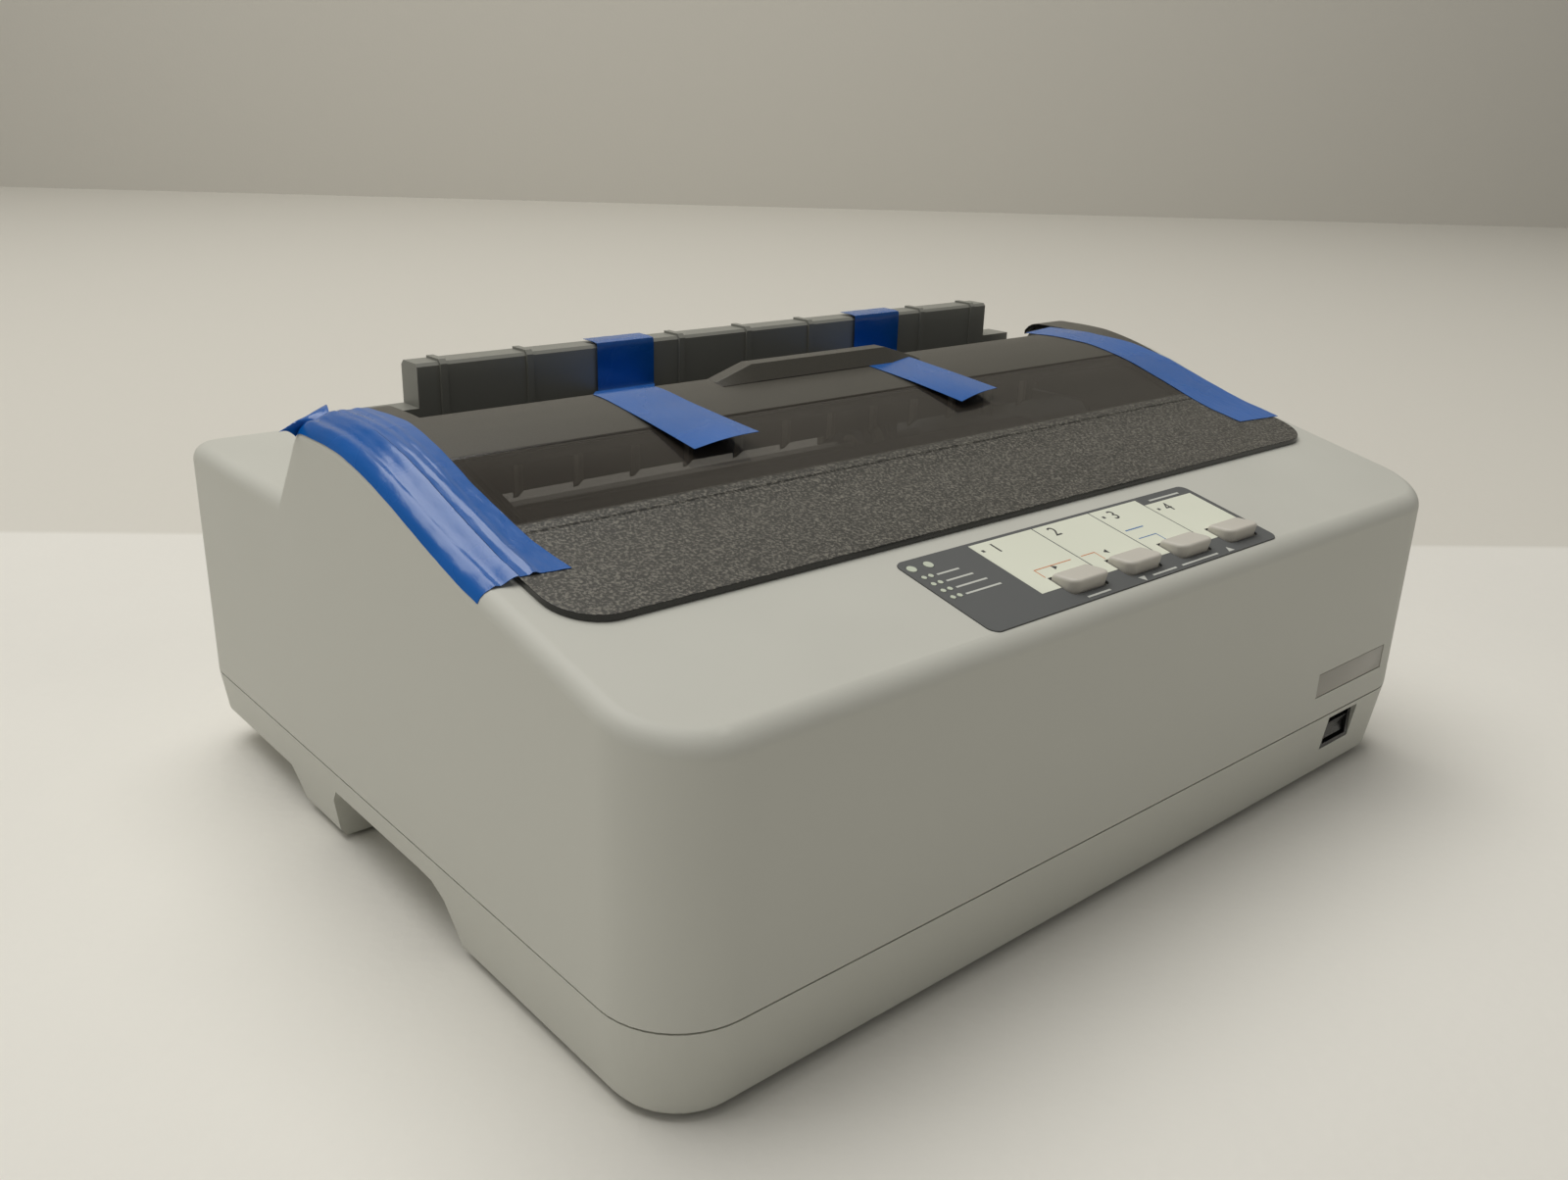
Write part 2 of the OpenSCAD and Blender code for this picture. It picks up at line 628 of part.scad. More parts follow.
module panel_plate() {
    color([0.35, 0.36, 0.36]) on_deck() difference() {
        translate([0, 0, panel_proud - panel_t]) linear_extrude(panel_t)
            round_rect([panel_x0, panel_u0], [panel_x1, panel_u1], 3);
        for (x = button_x) translate([x, button_u, -e])
            linear_extrude(2 * e) round_rect([-button_w / 2 - button_gap, -button_l / 2 - button_gap],
                [button_w / 2 + button_gap, button_l / 2 + button_gap], 1.5);
        for (s = lamp_spots) z_rod(s[0], s[1], -e, e, s[2] + 0.15);
    }
}

// Push button: a wedge cap, a stem and a flange that keeps it under the deck.
module push_button(i) {
    color([0.72, 0.7, 0.66]) on_deck() translate([button_x[i], button_u, 0]) {
        intersection() {
            translate([0, 0, -wall]) linear_extrude(wall + 8)
                round_rect([-button_w / 2, -button_l / 2], [button_w / 2, button_l / 2], 1.3);
            x_profile(-button_w, button_w) polygon([[-button_l, -wall], [button_l, -wall],
                [button_l, 1.6], [button_l / 2, 2], [-button_l / 2 + 1.5, 4.6],
                [-button_l / 2, 4], [-button_l, 3]]);
        }
        slab([-button_w / 2 - 1, button_w / 2 + 1], [-button_l / 2 - 1, button_l / 2 + 1],
             [-wall - seat - 1.2, -wall - seat]);
        slab([-button_w / 2 + 1, button_w / 2 - 1], [-button_l / 2 + 1, button_l / 2 - 1],
             [-wall - seat - 0.1, -wall + 0.1]);
        z_rod(0, 0, -wall - 3, -wall - seat - e, 1.8);
    }
}

module panel_board() {
    color([0.1, 0.35, 0.2]) on_deck() difference() {
        union() {
            slab([panel_x0, panel_x1], [panel_u0, panel_u1],
                 [panel_board_w - seat, panel_board_w + board_t - seat]);
            for (x = button_x) slab([x - 3, x + 3], [button_u - 3, button_u + 3],
                                    [panel_board_w, -wall - 3 - button_travel - seat / 3]);
        }
    }
}

module panel_lamps() {
    color([0.75, 0.85, 0.75]) on_deck()
        for (s = lamp_spots) z_rod(s[0], s[1], panel_board_w + board_t - seat, panel_proud + 0.1, s[2]);
}

// ---- Power switch ----

module power_switch_frame() {
    color([0.08, 0.08, 0.08]) difference() {
        slab([switch_x[0] + 0.1, switch_x[1] - 0.1], [-hd + switch_in, -hd + switch_in + switch_d],
             [switch_z[0] + 0.1, switch_z[1] - 0.1]);
        slab([switch_x[0] + 2, switch_x[1] - 2], [-hd, -hd + switch_in + 11.6],
             [switch_z[0] + 1.6, switch_z[1] - 1.6]);
    }
    color("silver") x_rod(switch_x[0] + 1, switch_x[1] - 1, rocker_y, rocker_z, rocker_pin_r);
}

module power_rocker() {
    color([0.05, 0.05, 0.05]) difference() {
        x_profile(switch_x[0] + 2.4, switch_x[1] - 2.4) translate([rocker_y, rocker_z])
            rotate(rocker_rest) polygon([[-6.6, 3.4], [-5.6, 0], [-6.6, -3.4], [-2, -4], [2.4, -2],
                [2.4, 2], [-2, 4]]);
        x_rod(switch_x[0] + 1, switch_x[1] - 1, rocker_y, rocker_z, rocker_pin_r + run);
    }
}

// ---- Chassis ----

module base_frame() {
    color("lightsteelblue") {
        difference() {
            slab([-plate_hw, plate_hw], [plate_y0, plate_y1], [plate_z, deck_z]);
            for (x = [-90 : 36 : 90]) slab([x - 9, x + 9], [-22, 30], [plate_z - e, deck_z + e]);
        }
        // Front guide rail, folded up from the plate.
        slab([-frame_in + seat, frame_in - seat], [rail_y - rail_t / 2, rail_y + rail_t / 2],
             [plate_z, rail_top]);
        // Pin of the belt's idler pulley.
        z_rod(-pulley_x, pulley_y, plate_z, belt_z + belt_h + 2, motor_shaft_r);
        z_rod(-pulley_x, pulley_y, plate_z, belt_z - 2.4, 5);
    }
}

module side_frame_shape(rear_z) {
    polygon([[-78, deck_z], [plate_y1, deck_z], [plate_y1 + 3, deck_z + 4], [118, deck_z + 4],
        [118, rear_z - 14], [108, rear_z], [47, rear_z], [42, frame_top], [0, frame_top],
        [-14, platen_z + 4], [-78, cartridge_z - 2]]);
}

module side_frame(side) {
    x0 = side < 0 ? -frame_x : frame_in;
    x1 = x0 + frame_t;
    inner = side * frame_in;
    difference() {
        union() {
            x_profile(x0, x1) side_frame_shape(skirt_z - 2);
            // Inward shelf that carries the ribbon cartridge.
            slab([min(inner, inner - side * 7), max(inner, inner - side * 7)], [-72, -58],
                 [cartridge_z - 4, cartridge_z - seat]);
        }
        x_rod(x0 - e, x1 + e, platen_y, platen_z, bush_r + fit);
        x_rod(x0 - e, x1 + e, carriage_y, carriage_z, carriage_shaft_r + fit);
        x_rod(x0 - e, x1 + e, tractor_y, tractor_z, journal_r + run);
        x_rod(x0 - e, x1 + e, support_y, support_z, support_r + fit);
        x_rod(x0 - e, x1 + e, pinch_y, pinch_z, pinch_axle_r + run);
        if (side < 0) x_rod(x0 - e, x1 + e, pinion_y, pinion_z, motor_shaft_r + 2);
        x_profile(x0 - e, x1 + e) translate([-52, 50]) round_rect([0, 0], [34, 12], 4);
    }
}

module left_side_frame() {
    color("lightsteelblue") {
        side_frame(-1);
        x_rod(gear_x - 1.2, -frame_x + e / 2, idler_y, idler_z, idler_pin_r);
        x_rod(-frame_x - gear_gap + seat, -frame_x, idler_y, idler_z, idler_pin_r + 2);
    }
}

lever_x = frame_x + 1.5;
release_y = 38;
release_z = 76;
release_l = hump_h - 19.9 - release_z;
head_gap_l = hump_h - 26.9 - carriage_z;
lever_pin_r = 3;

module right_side_frame() {
    color("lightsteelblue") {
        side_frame(1);
        x_rod(frame_x - e / 2, lever_x + 3.2, release_y, release_z, lever_pin_r);
    }
}

module platen_bushes() {
    color("ivory") for (s = [-1, 1]) difference() {
        union() {
            x_rod(s * (frame_in + frame_t / 2) - frame_t / 2, s * (frame_in + frame_t / 2) + frame_t / 2,
                  platen_y, platen_z, bush_r);
            x_rod(s * (frame_in - 0.75) - 0.75, s * (frame_in - 0.75) + 0.75, platen_y, platen_z,
                  bush_r + 2);
        }
        x_rod(s * frame_in - 5, s * frame_in + 5, platen_y, platen_z, platen_shaft_r + run);
    }
}

// ---- Paper feed ----

// Half of the angle of a tooth at radius r, on an involute of 20 degrees.
function tooth_half(n, r) = let (pitch_r = gear_m * n / 2, base_r = pitch_r * cos(20),
        phi = acos(min(1, base_r / r)))
    90 / n + (tan(20) - tan(phi)) * 180 / PI - 20 + phi - backlash / 2 / pitch_r * 180 / PI;

function gear_points(n) = let (pitch_r = gear_m * n / 2, base_r = pitch_r * cos(20),
        root_r = pitch_r - 1.25 * gear_m, tip_r = pitch_r + 0.92 * gear_m,
        radii = [root_r, max(base_r, root_r + 0.1), pitch_r, tip_r])
    [for (k = [0 : n - 1]) for (i = [0 : 7])
        let (r = i < 4 ? radii[i] : radii[7 - i],
             half = tooth_half(n, max(r, base_r)),
             a = k * 360 / n + (i < 4 ? -half : half))
        [r * cos(a), r * sin(a)]];

module spur_gear(n, turn, bore) {
    difference() {
        rotate([90, 0, 90]) linear_extrude(gear_w) rotate(turn) polygon(gear_points(n));
        x_rod(-e, gear_w + e, 0, 0, bore);
        // Lightening holes in the web of the larger gears.
        if (n > 30) for (a = [0 : 60 : 300])
            x_rod(-e, gear_w + e, gear_m * n * 0.31 * cos(a), gear_m * n * 0.31 * sin(a), 3.4);
    }
}

module platen_roller() {
    color([0.12, 0.12, 0.12]) difference() {
        x_rod(-platen_hl, platen_hl, platen_y, platen_z, platen_r);
        x_rod(-platen_hl - e, platen_hl + e, platen_y, platen_z, platen_shaft_r + fit);
    }
}

module platen_shaft() {
    color("silver") x_rod(gear_x - 2, hw + knob_out - 4, platen_y, platen_z, platen_shaft_r);
}

module platen_gear() {
    color("ivory") translate([gear_x, platen_y, platen_z])
        spur_gear(platen_teeth, 0, platen_shaft_r + fit);
}

module platen_knob() {
    color([0.2, 0.2, 0.19]) difference() {
        union() {
            x_rod(hw + 0.6, hw + knob_out - 1, platen_y, platen_z, knob_r - 1);
            x_rod(hw + knob_out - 1.01, hw + knob_out, platen_y, platen_z, knob_r - 2);
            for (a = [0 : 15 : 345]) x_rod(hw + 2, hw + knob_out - 1,
                platen_y + (knob_r - 1) * cos(a), platen_z + (knob_r - 1) * sin(a), 1);
        }
        x_rod(hw, hw + knob_out - 4 + fit, platen_y, platen_z, platen_shaft_r + fit);
        difference() {
            x_rod(hw, hw + knob_out - 3, platen_y, platen_z, knob_r - 3.2);
            x_rod(hw - e, hw + knob_out, platen_y, platen_z, platen_shaft_r + 2.5);
        }
    }
}

module feed_motor() {
    color("dimgray") difference() {
        union() {
            x_rod(-frame_in, -frame_in + feed_motor_l, pinion_y, pinion_z, feed_motor_r);
            x_rod(-frame_in + feed_motor_l - 0.01, -frame_in + feed_motor_l + 1.2, pinion_y, pinion_z, 8);
        }
        x_rod(-frame_in - e, -frame_in + 8, pinion_y, pinion_z, motor_shaft_r + 1);
    }
}

module feed_pinion() {
    color("goldenrod") {
        translate([gear_x, pinion_y, pinion_z]) spur_gear(pinion_teeth, pinion_turn, motor_shaft_r - e);
        x_rod(gear_x - 1, -frame_in + 6, pinion_y, pinion_z, motor_shaft_r);
    }
}

module feed_idler_gear() {
    color("ivory") translate([gear_x, idler_y, idler_z])
        spur_gear(idler_teeth, idler_turn, idler_pin_r + run);
}

module pinch_rollers() {
    color("silver")
        x_rod(-frame_in - frame_t / 2, frame_in + frame_t / 2, pinch_y, pinch_z, pinch_axle_r);
    color([0.25, 0.25, 0.25]) for (x = pinch_x) difference() {
        x_rod(x - pinch_l / 2, x + pinch_l / 2, pinch_y, pinch_z, pinch_r);
        x_rod(x - pinch_l, x + pinch_l, pinch_y, pinch_z, pinch_axle_r - 0.5);
    }
}

// Curved pan that holds the paper against the platen, with windows for the pinch rollers.
module paper_pan() {
    pan_r = platen_r + 2;
    color([0.3, 0.3, 0.3]) difference() {
        x_profile(-frame_in + seat, frame_in - seat) translate([platen_y, platen_z]) intersection() {
            difference() {
                circle(pan_r + 1.2, $fn = 96);
                circle(pan_r, $fn = 96);
            }
            polygon([[0, 0], [-14, -18], [0, -30], [40, -30], [40, -12]]);
        }
        for (x = pinch_x) slab([x - pinch_l / 2 - 2, x + pinch_l / 2 + 2],
            [pinch_y - pinch_r - 2, pinch_y + pinch_r + 2], [pinch_z - 9, pinch_z + 9]);
        x_rod(-frame_in, frame_in, pinch_y, pinch_z, pinch_axle_r + 1);
    }
}

eject_y = platen_y + 6;
eject_top = hump_h - 9.9;
frame_top = platen_z + 22;         // top of the side frames beside the platen
module eject_guide() {
    pitch = (frame_in - 9) / 6;
    color([0.78, 0.76, 0.7]) translate([0, eject_y, 0]) {
        x_profile(-frame_in + seat, frame_in - seat) polygon([[0, 108], [1.6, 108],
            [1.6, eject_top - 5], [14, eject_top - 2], [14, eject_top], [1, eject_top - 3],
            [0, eject_top - 5]]);
        for (i = [-6 : 6]) x_profile(i * pitch - 0.9, i * pitch + 0.9) polygon([[-3, 109],
            [0.5, 106], [0.5, eject_top - 4], [-1, eject_top - 3], [-3, eject_top - 6]]);
        both_sides() slab([frame_in - 4, frame_x], [0.5, 14], [frame_top + seat, frame_top + 2.5]);
    }
}

module release_lever_shape() {
    translate([release_y, release_z]) circle(6.5);
    translate([release_y - 3, release_z]) square([6, release_l]);
    translate([release_y, release_z + release_l]) circle(4);
}

module paper_release_lever() {
    color([0.35, 0.45, 0.6]) difference() {
        union() {
            x_profile(lever_x, lever_x + 2.6) release_lever_shape();
            x_rod(lever_x - 1.2, lever_x + 0.01, release_y, release_z, 5);
        }
        x_rod(lever_x - 3, lever_x + 5, release_y, release_z, lever_pin_r + run);
    }
}

module head_gap_lever() {
    color([0.35, 0.45, 0.6]) difference() {
        union() {
            x_profile(lever_x, lever_x + 2.6) {
                translate([carriage_y, carriage_z]) circle(8);
                translate([carriage_y - 3, carriage_z]) square([6, head_gap_l]);
                translate([carriage_y, carriage_z + head_gap_l]) circle(4);
            }
            x_rod(lever_x - 1.2, lever_x + 0.01, carriage_y, carriage_z, 7);
        }
        x_rod(lever_x - 3, lever_x + 5, carriage_y, carriage_z, carriage_shaft_r + run);
    }
}

// ---- Carriage ----

module carriage_shaft() {
    color("silver") x_rod(-frame_x - 1, lever_x + 3, carriage_y, carriage_z, carriage_shaft_r);
}

carriage_top = carriage_z + 8;

module carriage() {
    cw = carriage_w / 2;
    color([0.18, 0.18, 0.18]) translate([carriage_home, 0, 0]) difference() {
        union() {
            x_rod(-cw, cw, carriage_y, carriage_z, carriage_top - carriage_z - seat);
            slab([-cw, cw], [carriage_y - 8, -10], [carriage_z, carriage_top]);
            slab([-15, 15], [-11, -2], [carriage_top - 3, carriage_top]);
            // Arm to the front rail, with a shoe that straddles it.
            slab([-12, 12], [rail_y - 4, carriage_y - 4], [rail_top - 1, rail_top + 4]);
            slab([-12, 12], [rail_y - 4, rail_y + 4], [rail_top - 6, rail_top]);
            // Clamp on the rear run of the belt.
            slab([-5, 5], [clamp_y - 2.5, carriage_y], [belt_z - 2, belt_z + belt_h + 2]);
        }
        x_rod(-cw - e, cw + e, carriage_y, carriage_z, carriage_shaft_r + run);
        slab([-13, 13], [rail_y - rail_t / 2 - seat, rail_y + rail_t / 2 + seat],
             [rail_top - 8, rail_top + seat]);
        slab([-6, 6], [clamp_y - belt_t / 2 - seat, clamp_y + belt_t / 2 + seat],
             [belt_z - seat, belt_z + belt_h + seat]);
        slab([-9, 9], [carriage_y - 20, carriage_y - 12], [rail_top - 2, rail_top + 6]);
    }
}

clamp_y = pulley_y + pulley_r + belt_t / 2;

fin_r = head_z + 1 - carriage_top - seat;

module print_head() {
    color([0.25, 0.25, 0.27]) translate([carriage_home, 0, 0]) {
        slab([-12, 12], [carriage_y + 2, -10.5], [carriage_top, carriage_top + 3]);
        // Stacked cooling fins around the coil housing.
        for (i = [0 : 6]) translate([0, -31 + 3 * i, head_z + 1]) rotate([-90, 0, 0])
            cylinder(r = fin_r, h = 1.6);
        translate([0, -32, head_z + 1]) rotate([-90, 0, 0]) cylinder(r = fin_r - 1.5, h = 21);
        // Nose with the wire guide.
        translate([0, -12, head_z]) rotate([-90, 0, 0]) cylinder(r1 = 9, r2 = 4.2, h = 12);
        slab([-2.4, 2.4], [-1, nose_y], [head_z - 5.5, head_z + 5.5]);
    }
}

module ribbon_mask() {
    color("silver") translate([carriage_home, 0, 0]) {
        slab([-14, 14], [-9, mask_y + 0.3], [carriage_top, carriage_top + 0.5]);
        difference() {
            slab([-14, 14], [mask_y, mask_y + 0.3], [carriage_top, head_z + 9]);
            slab([-3.5, 3.5], [mask_y - e, mask_y + e], [head_z - 6.5, head_z + 6.5]);
        }
    }
}

module belt_outline(g) {
    r = pulley_r + g;
    translate([-pulley_x, pulley_y - r]) square([2 * pulley_x, 2 * r]);
    for (x = [-pulley_x, pulley_x]) translate([x, pulley_y]) circle(r);
}

module carriage_belt() {
    color([0.1, 0.1, 0.1]) translate([0, 0, belt_z]) linear_extrude(belt_h) difference() {
        belt_outline(belt_t);
        belt_outline(0);
    }
}

module belt_pulley(x) {
    color("ivory") difference() {
        union() {
            z_rod(x, pulley_y, belt_z - 1.8, belt_z + belt_h + 1.8, pulley_r - 0.1);
            for (z = [belt_z - 1.8, belt_z + belt_h + 0.6]) z_rod(x, pulley_y, z, z + 1.2, pulley_r + 1.6);
        }
        z_rod(x, pulley_y, belt_z - 3, belt_z + belt_h + 3, motor_shaft_r + run);
    }
}

module carriage_motor() {
    color("dimgray") {
        z_rod(pulley_x, pulley_y, deck_z, deck_z + carriage_motor_h, carriage_motor_r);
        z_rod(pulley_x, pulley_y, deck_z + carriage_motor_h - 0.01, deck_z + carriage_motor_h + 1.5, 6);
    }
    color("silver") z_rod(pulley_x, pulley_y, deck_z + carriage_motor_h, belt_z + belt_h + 2,
                          motor_shaft_r);
}

// ---- Ribbon ----

cartridge_z = head_z - 2;
cartridge_h = 14;
ribbon_knob_x = 45 - frame_in;
ribbon_knob_y = -64;

module ribbon_cartridge() {
    out_x = frame_in - 3;
    color([0.13, 0.13, 0.14]) difference() {
        translate([0, 0, cartridge_z]) linear_extrude(cartridge_h) {
            round_rect([-out_x, -79], [out_x, -51], 5);
            both_sides() {
                round_rect([out_x - 16, -62], [out_x, -14], 4);
                polygon([[out_x - 16, -18], [out_x - 4, -18], [out_x - 11, ribbon_y - 2],
                    [out_x - 16, ribbon_y - 2]]);
            }
        }
        // Slits at the tips of both arms, where the ribbon leaves and enters.
        both_sides() slab([out_x - 17, out_x - 13], [ribbon_y - 8, ribbon_y],
                          [cartridge_z + 1, cartridge_z + cartridge_h - 1]);
        z_rod(ribbon_knob_x, ribbon_knob_y, cartridge_z + 2, cartridge_z + cartridge_h + e, 3 + run);
        // Shallow step along the lid of the cartridge.
        difference() {
            slab([-out_x - e, out_x + e], [-80, 20], [cartridge_z + cartridge_h - 0.8, 150]);
            translate([0, 0, cartridge_z]) linear_extrude(cartridge_h + e) {
                round_rect([-out_x + 1.5, -77.5], [out_x - 1.5, -52.5], 4);
                both_sides() round_rect([out_x - 14.5, -60], [out_x - 1.5, -16], 3);
            }
        }
    }
}

module ribbon_band() {
    out_x = frame_in - 3;
    color([0.05, 0.05, 0.07]) translate([0, 0, cartridge_z + 1.5]) linear_extrude(cartridge_h - 3)
        polygon([[-out_x + 14.6, ribbon_y - 6], [-out_x + 17.5, ribbon_y], [out_x - 17.5, ribbon_y],
            [out_x - 14.6, ribbon_y - 6], [out_x - 14.2, ribbon_y - 6],
            [out_x - 17.2, ribbon_y + 0.25], [-out_x + 17.2, ribbon_y + 0.25],
            [-out_x + 14.2, ribbon_y - 6]]);
}

module ribbon_knob() {
    top = cartridge_z + cartridge_h;
    color([0.4, 0.5, 0.7]) {
        z_rod(ribbon_knob_x, ribbon_knob_y, cartridge_z + 2 + seat, top + 1, 3);
        z_rod(ribbon_knob_x, ribbon_knob_y, top + seat, top + 3.4, 6.5);
        translate([ribbon_knob_x, ribbon_knob_y, top + 1.8]) for (a = [0 : 30 : 330])
            rotate(a) translate([6.3, 0, 0]) cylinder(r = 0.9, h = 3, center = true);
        translate([ribbon_knob_x, ribbon_knob_y, top + 3.6]) cube([10, 1.6, 1], center = true);
    }
}

// ---- Tractor feed ----

module tractor_drive_shaft() {
    s = tractor_shaft_w / 2;
    color("silver") {
        slab([-frame_in + seat, frame_in - seat], [tractor_y - s, tractor_y + s],
             [tractor_z - s, tractor_z + s]);
        x_rod(gear_x - 1, frame_x + 1, tractor_y, tractor_z, journal_r);
    }
}

module tractor_support_shaft() {
    color("silver") x_rod(-frame_x - 0.5, frame_x + 0.5, support_y, support_z, support_r);
}

module tractor_gear() {
    color("ivory") translate([gear_x, tractor_y, tractor_z])
        spur_gear(tractor_teeth, tractor_turn, journal_r + fit);
}

// Places children at a tractor, drawn for the right side and mirrored for the left.
module at_tractor(side) {
    mirror([side < 0 ? 1 : 0, 0, 0]) translate([tractor_x, tractor_y, tractor_z]) children();
}

flap_pin_x = tractor_w / 2 + 2.5;
flap_pin_z = wheel_r - 0.6;
flap_z = wheel_r + 1.6;            // underside of the flap
ear_r = flap_z - flap_pin_z - seat - 0.1;

module tractor(side) {
    w = tractor_w / 2;
    color([0.2, 0.28, 0.4]) at_tractor(side) difference() {
        union() {
            x_profile(-w, w) {
                circle(10.5);
                polygon([[-7, -8], [support_dy, support_dz - 6],
                    [support_dy + 2, support_dz + 6], [5, 9.4]]);
                translate([support_dy, support_dz]) circle(6.2);
            }
            // Round-topped ears for the flap's hinge pin.
            for (y = [-9, 6]) {
                slab([w - 1, flap_pin_x + ear_r], [y, y + 3], [3, flap_pin_z]);
                translate([flap_pin_x, y, flap_pin_z]) rotate([-90, 0, 0]) cylinder(r = ear_r, h = 3);
            }
            translate([flap_pin_x, -9, flap_pin_z]) rotate([-90, 0, 0]) cylinder(r = 1, h = 18);
        }
        x_rod(-w - e, w + e, 0, 0, hub_r + run);
        x_rod(-wheel_w / 2 - 0.6, wheel_w / 2 + 0.6, 0, 0, wheel_r + pin_h + 0.6);
        x_rod(-w - e, w + e, support_dy, support_dz, support_r + run);
    }
}

module pin_wheel(side) {
    s = tractor_shaft_w / 2 + run;
    color("ivory") at_tractor(side) difference() {
        union() {
            x_rod(-wheel_w / 2, wheel_w / 2, 0, 0, wheel_r);
            x_rod(-tractor_w / 2 + 0.5, tractor_w / 2 - 0.5, 0, 0, hub_r);
            for (i = [0 : wheel_pins - 1]) rotate([i * 360 / wheel_pins + 30, 0, 0])
                translate([0, 0, wheel_r - 0.5]) cylinder(r1 = pin_r, r2 = pin_r - 0.8, h = pin_h + 0.5);
        }
        slab([-tractor_w, tractor_w], [-s, s], [-s, s]);
    }
}

module tractor_flap(side) {
    color([0.2, 0.28, 0.4]) at_tractor(side) difference() {
        union() {
            slab([-tractor_w / 2, flap_pin_x], [-12, 12], [flap_z, flap_z + flap_t]);
            translate([flap_pin_x, -5.6, flap_pin_z]) rotate([-90, 0, 0]) cylinder(r = 2, h = 11.2);
            slab([flap_pin_x - 2, flap_pin_x + 1.9], [-5.6, 5.6], [flap_pin_z, flap_z + flap_t]);
        }
        translate([flap_pin_x, -13, flap_pin_z]) rotate([-90, 0, 0]) cylinder(r = 1 + run, h = 26);
        slab([-wheel_w / 2 - 0.3, wheel_w / 2 + 0.3], [-10, 10], [flap_z - e, flap_z + flap_t + e]);
    }
}

lock_l = 13.8;                     // reach of the lock's lever, short of the drive shaft

module tractor_lock(side) {
    w = tractor_w / 2;
    color([0.75, 0.75, 0.72]) at_tractor(side) difference() {
        x_profile(-w - 0.3 - 2.4, -w - 0.3) {
            translate([support_dy, support_dz]) circle(5.4);
            translate([support_dy - 2, support_dz]) square([4, lock_l]);
        }
        x_rod(-w - 5, w, support_dy, support_dz, support_r + 0.3);
    }
}

// ---- Electronics ----

port_spots = [[-70, -4, seam_h + 2.4, seam_h + 14.4], [-112, -81, seam_h + 2.4, seam_h + 13],
    [8, 20.5, seam_h + 1.6, seam_h + 12.4]];
inlet_x = [power_x + 22, power_x + 52];
inlet_z = [34, 56];

module main_board() {
    board_top = board_z + board_t;
    y1 = hd - 5.5;
    color([0.08, 0.33, 0.18]) slab(board_x, [y1 - 52, y1], [board_z, board_top]);
    color([0.1, 0.1, 0.1]) {
        slab([-60, -32], [y1 - 44, y1 - 20], [board_top - 0.01, board_top + 3]);
        slab([-16, 22], [y1 - 40, y1 - 26], [board_top - 0.01, board_top + 4]);
        slab([-100, -74], [y1 - 42, y1 - 30], [board_top - 0.01, board_top + 3]);
    }
    color("silver") for (x = [32 : 9 : 50]) z_rod(x, y1 - 34, board_top - 0.01, board_top + 8, 3.4);
}

module power_unit() {
    y1 = hd - 10;
    translate([power_x, 0, 0]) {
        color([0.7, 0.62, 0.4]) slab([0, 66], [y1 - 50, y1], [power_z, power_z + board_t]);
        color([0.25, 0.25, 0.25]) slab([6, 38], [y1 - 46, y1 - 18],
                                       [power_z + board_t - 0.01, power_z + 27]);
        color("silver") {
            slab([44, 46], [y1 - 46, y1 - 20], [power_z + board_t - 0.01, power_z + 30]);
            for (i = [0 : 4]) slab([46 - 0.01, 52], [y1 - 45 + 5.6 * i, y1 - 43.6 + 5.6 * i],
                                   [power_z + 8, power_z + 30]);
        }
        color([0.15, 0.2, 0.4]) z_rod(59, y1 - 10, power_z + board_t - 0.01, power_z + 20, 6);
    }
}

module interface_ports() {
    color([0.3, 0.3, 0.32]) for (p = port_spots) difference() {
        union() {
            slab([p[0], p[1]], [hd - 20, hd - wall - seat], [board_z + board_t, p[3]]);
            slab([p[0], p[1]], [hd - 20, hd - 1], [p[2], p[3]]);
        }
        slab([p[0] + 1.2, p[1] - 1.2], [hd - 12, hd], [p[2] + 1.2, p[3] - 1.2]);
    }
    color("goldenrod") for (p = port_spots)
        slab([p[0] + 3, p[1] - 3], [hd - 13, hd - 5], [(p[2] + p[3]) / 2 - 0.9, (p[2] + p[3]) / 2 + 0.9]);
}

module power_inlet() {
    color([0.07, 0.07, 0.07]) {
        difference() {
            slab(inlet_x, [hd - 22, hd - 0.6], inlet_z);
            slab([inlet_x[0] + 3, inlet_x[1] - 3], [hd - 18, hd], [inlet_z[0] + 2.6, inlet_z[1] - 2.6]);
        }
        // Flange that clips behind the rear wall.
        difference() {
            slab([inlet_x[0] - 3, inlet_x[1] + 3], [hd - wall - 2.2, hd - wall - 0.2],
                 [inlet_z[0] - 3, inlet_z[1] + 3]);
            slab([inlet_x[0] + 1, inlet_x[1] - 1], [hd - wall - 4, hd], [inlet_z[0] + 1, inlet_z[1] - 1]);
        }
    }
    color("silver") for (x = [-7, 0, 7])
        slab([(inlet_x[0] + inlet_x[1]) / 2 + x - 1, (inlet_x[0] + inlet_x[1]) / 2 + x + 1],
             [hd - 19, hd - 6], [(inlet_z[0] + inlet_z[1]) / 2 - 2, (inlet_z[0] + inlet_z[1]) / 2 + 2]);
}

// Moves the case-centred model so that X = 0 is the middle of the whole width with the knob.
module placed() {
    translate([-knob_out / 2, 0, 0]) children();
}

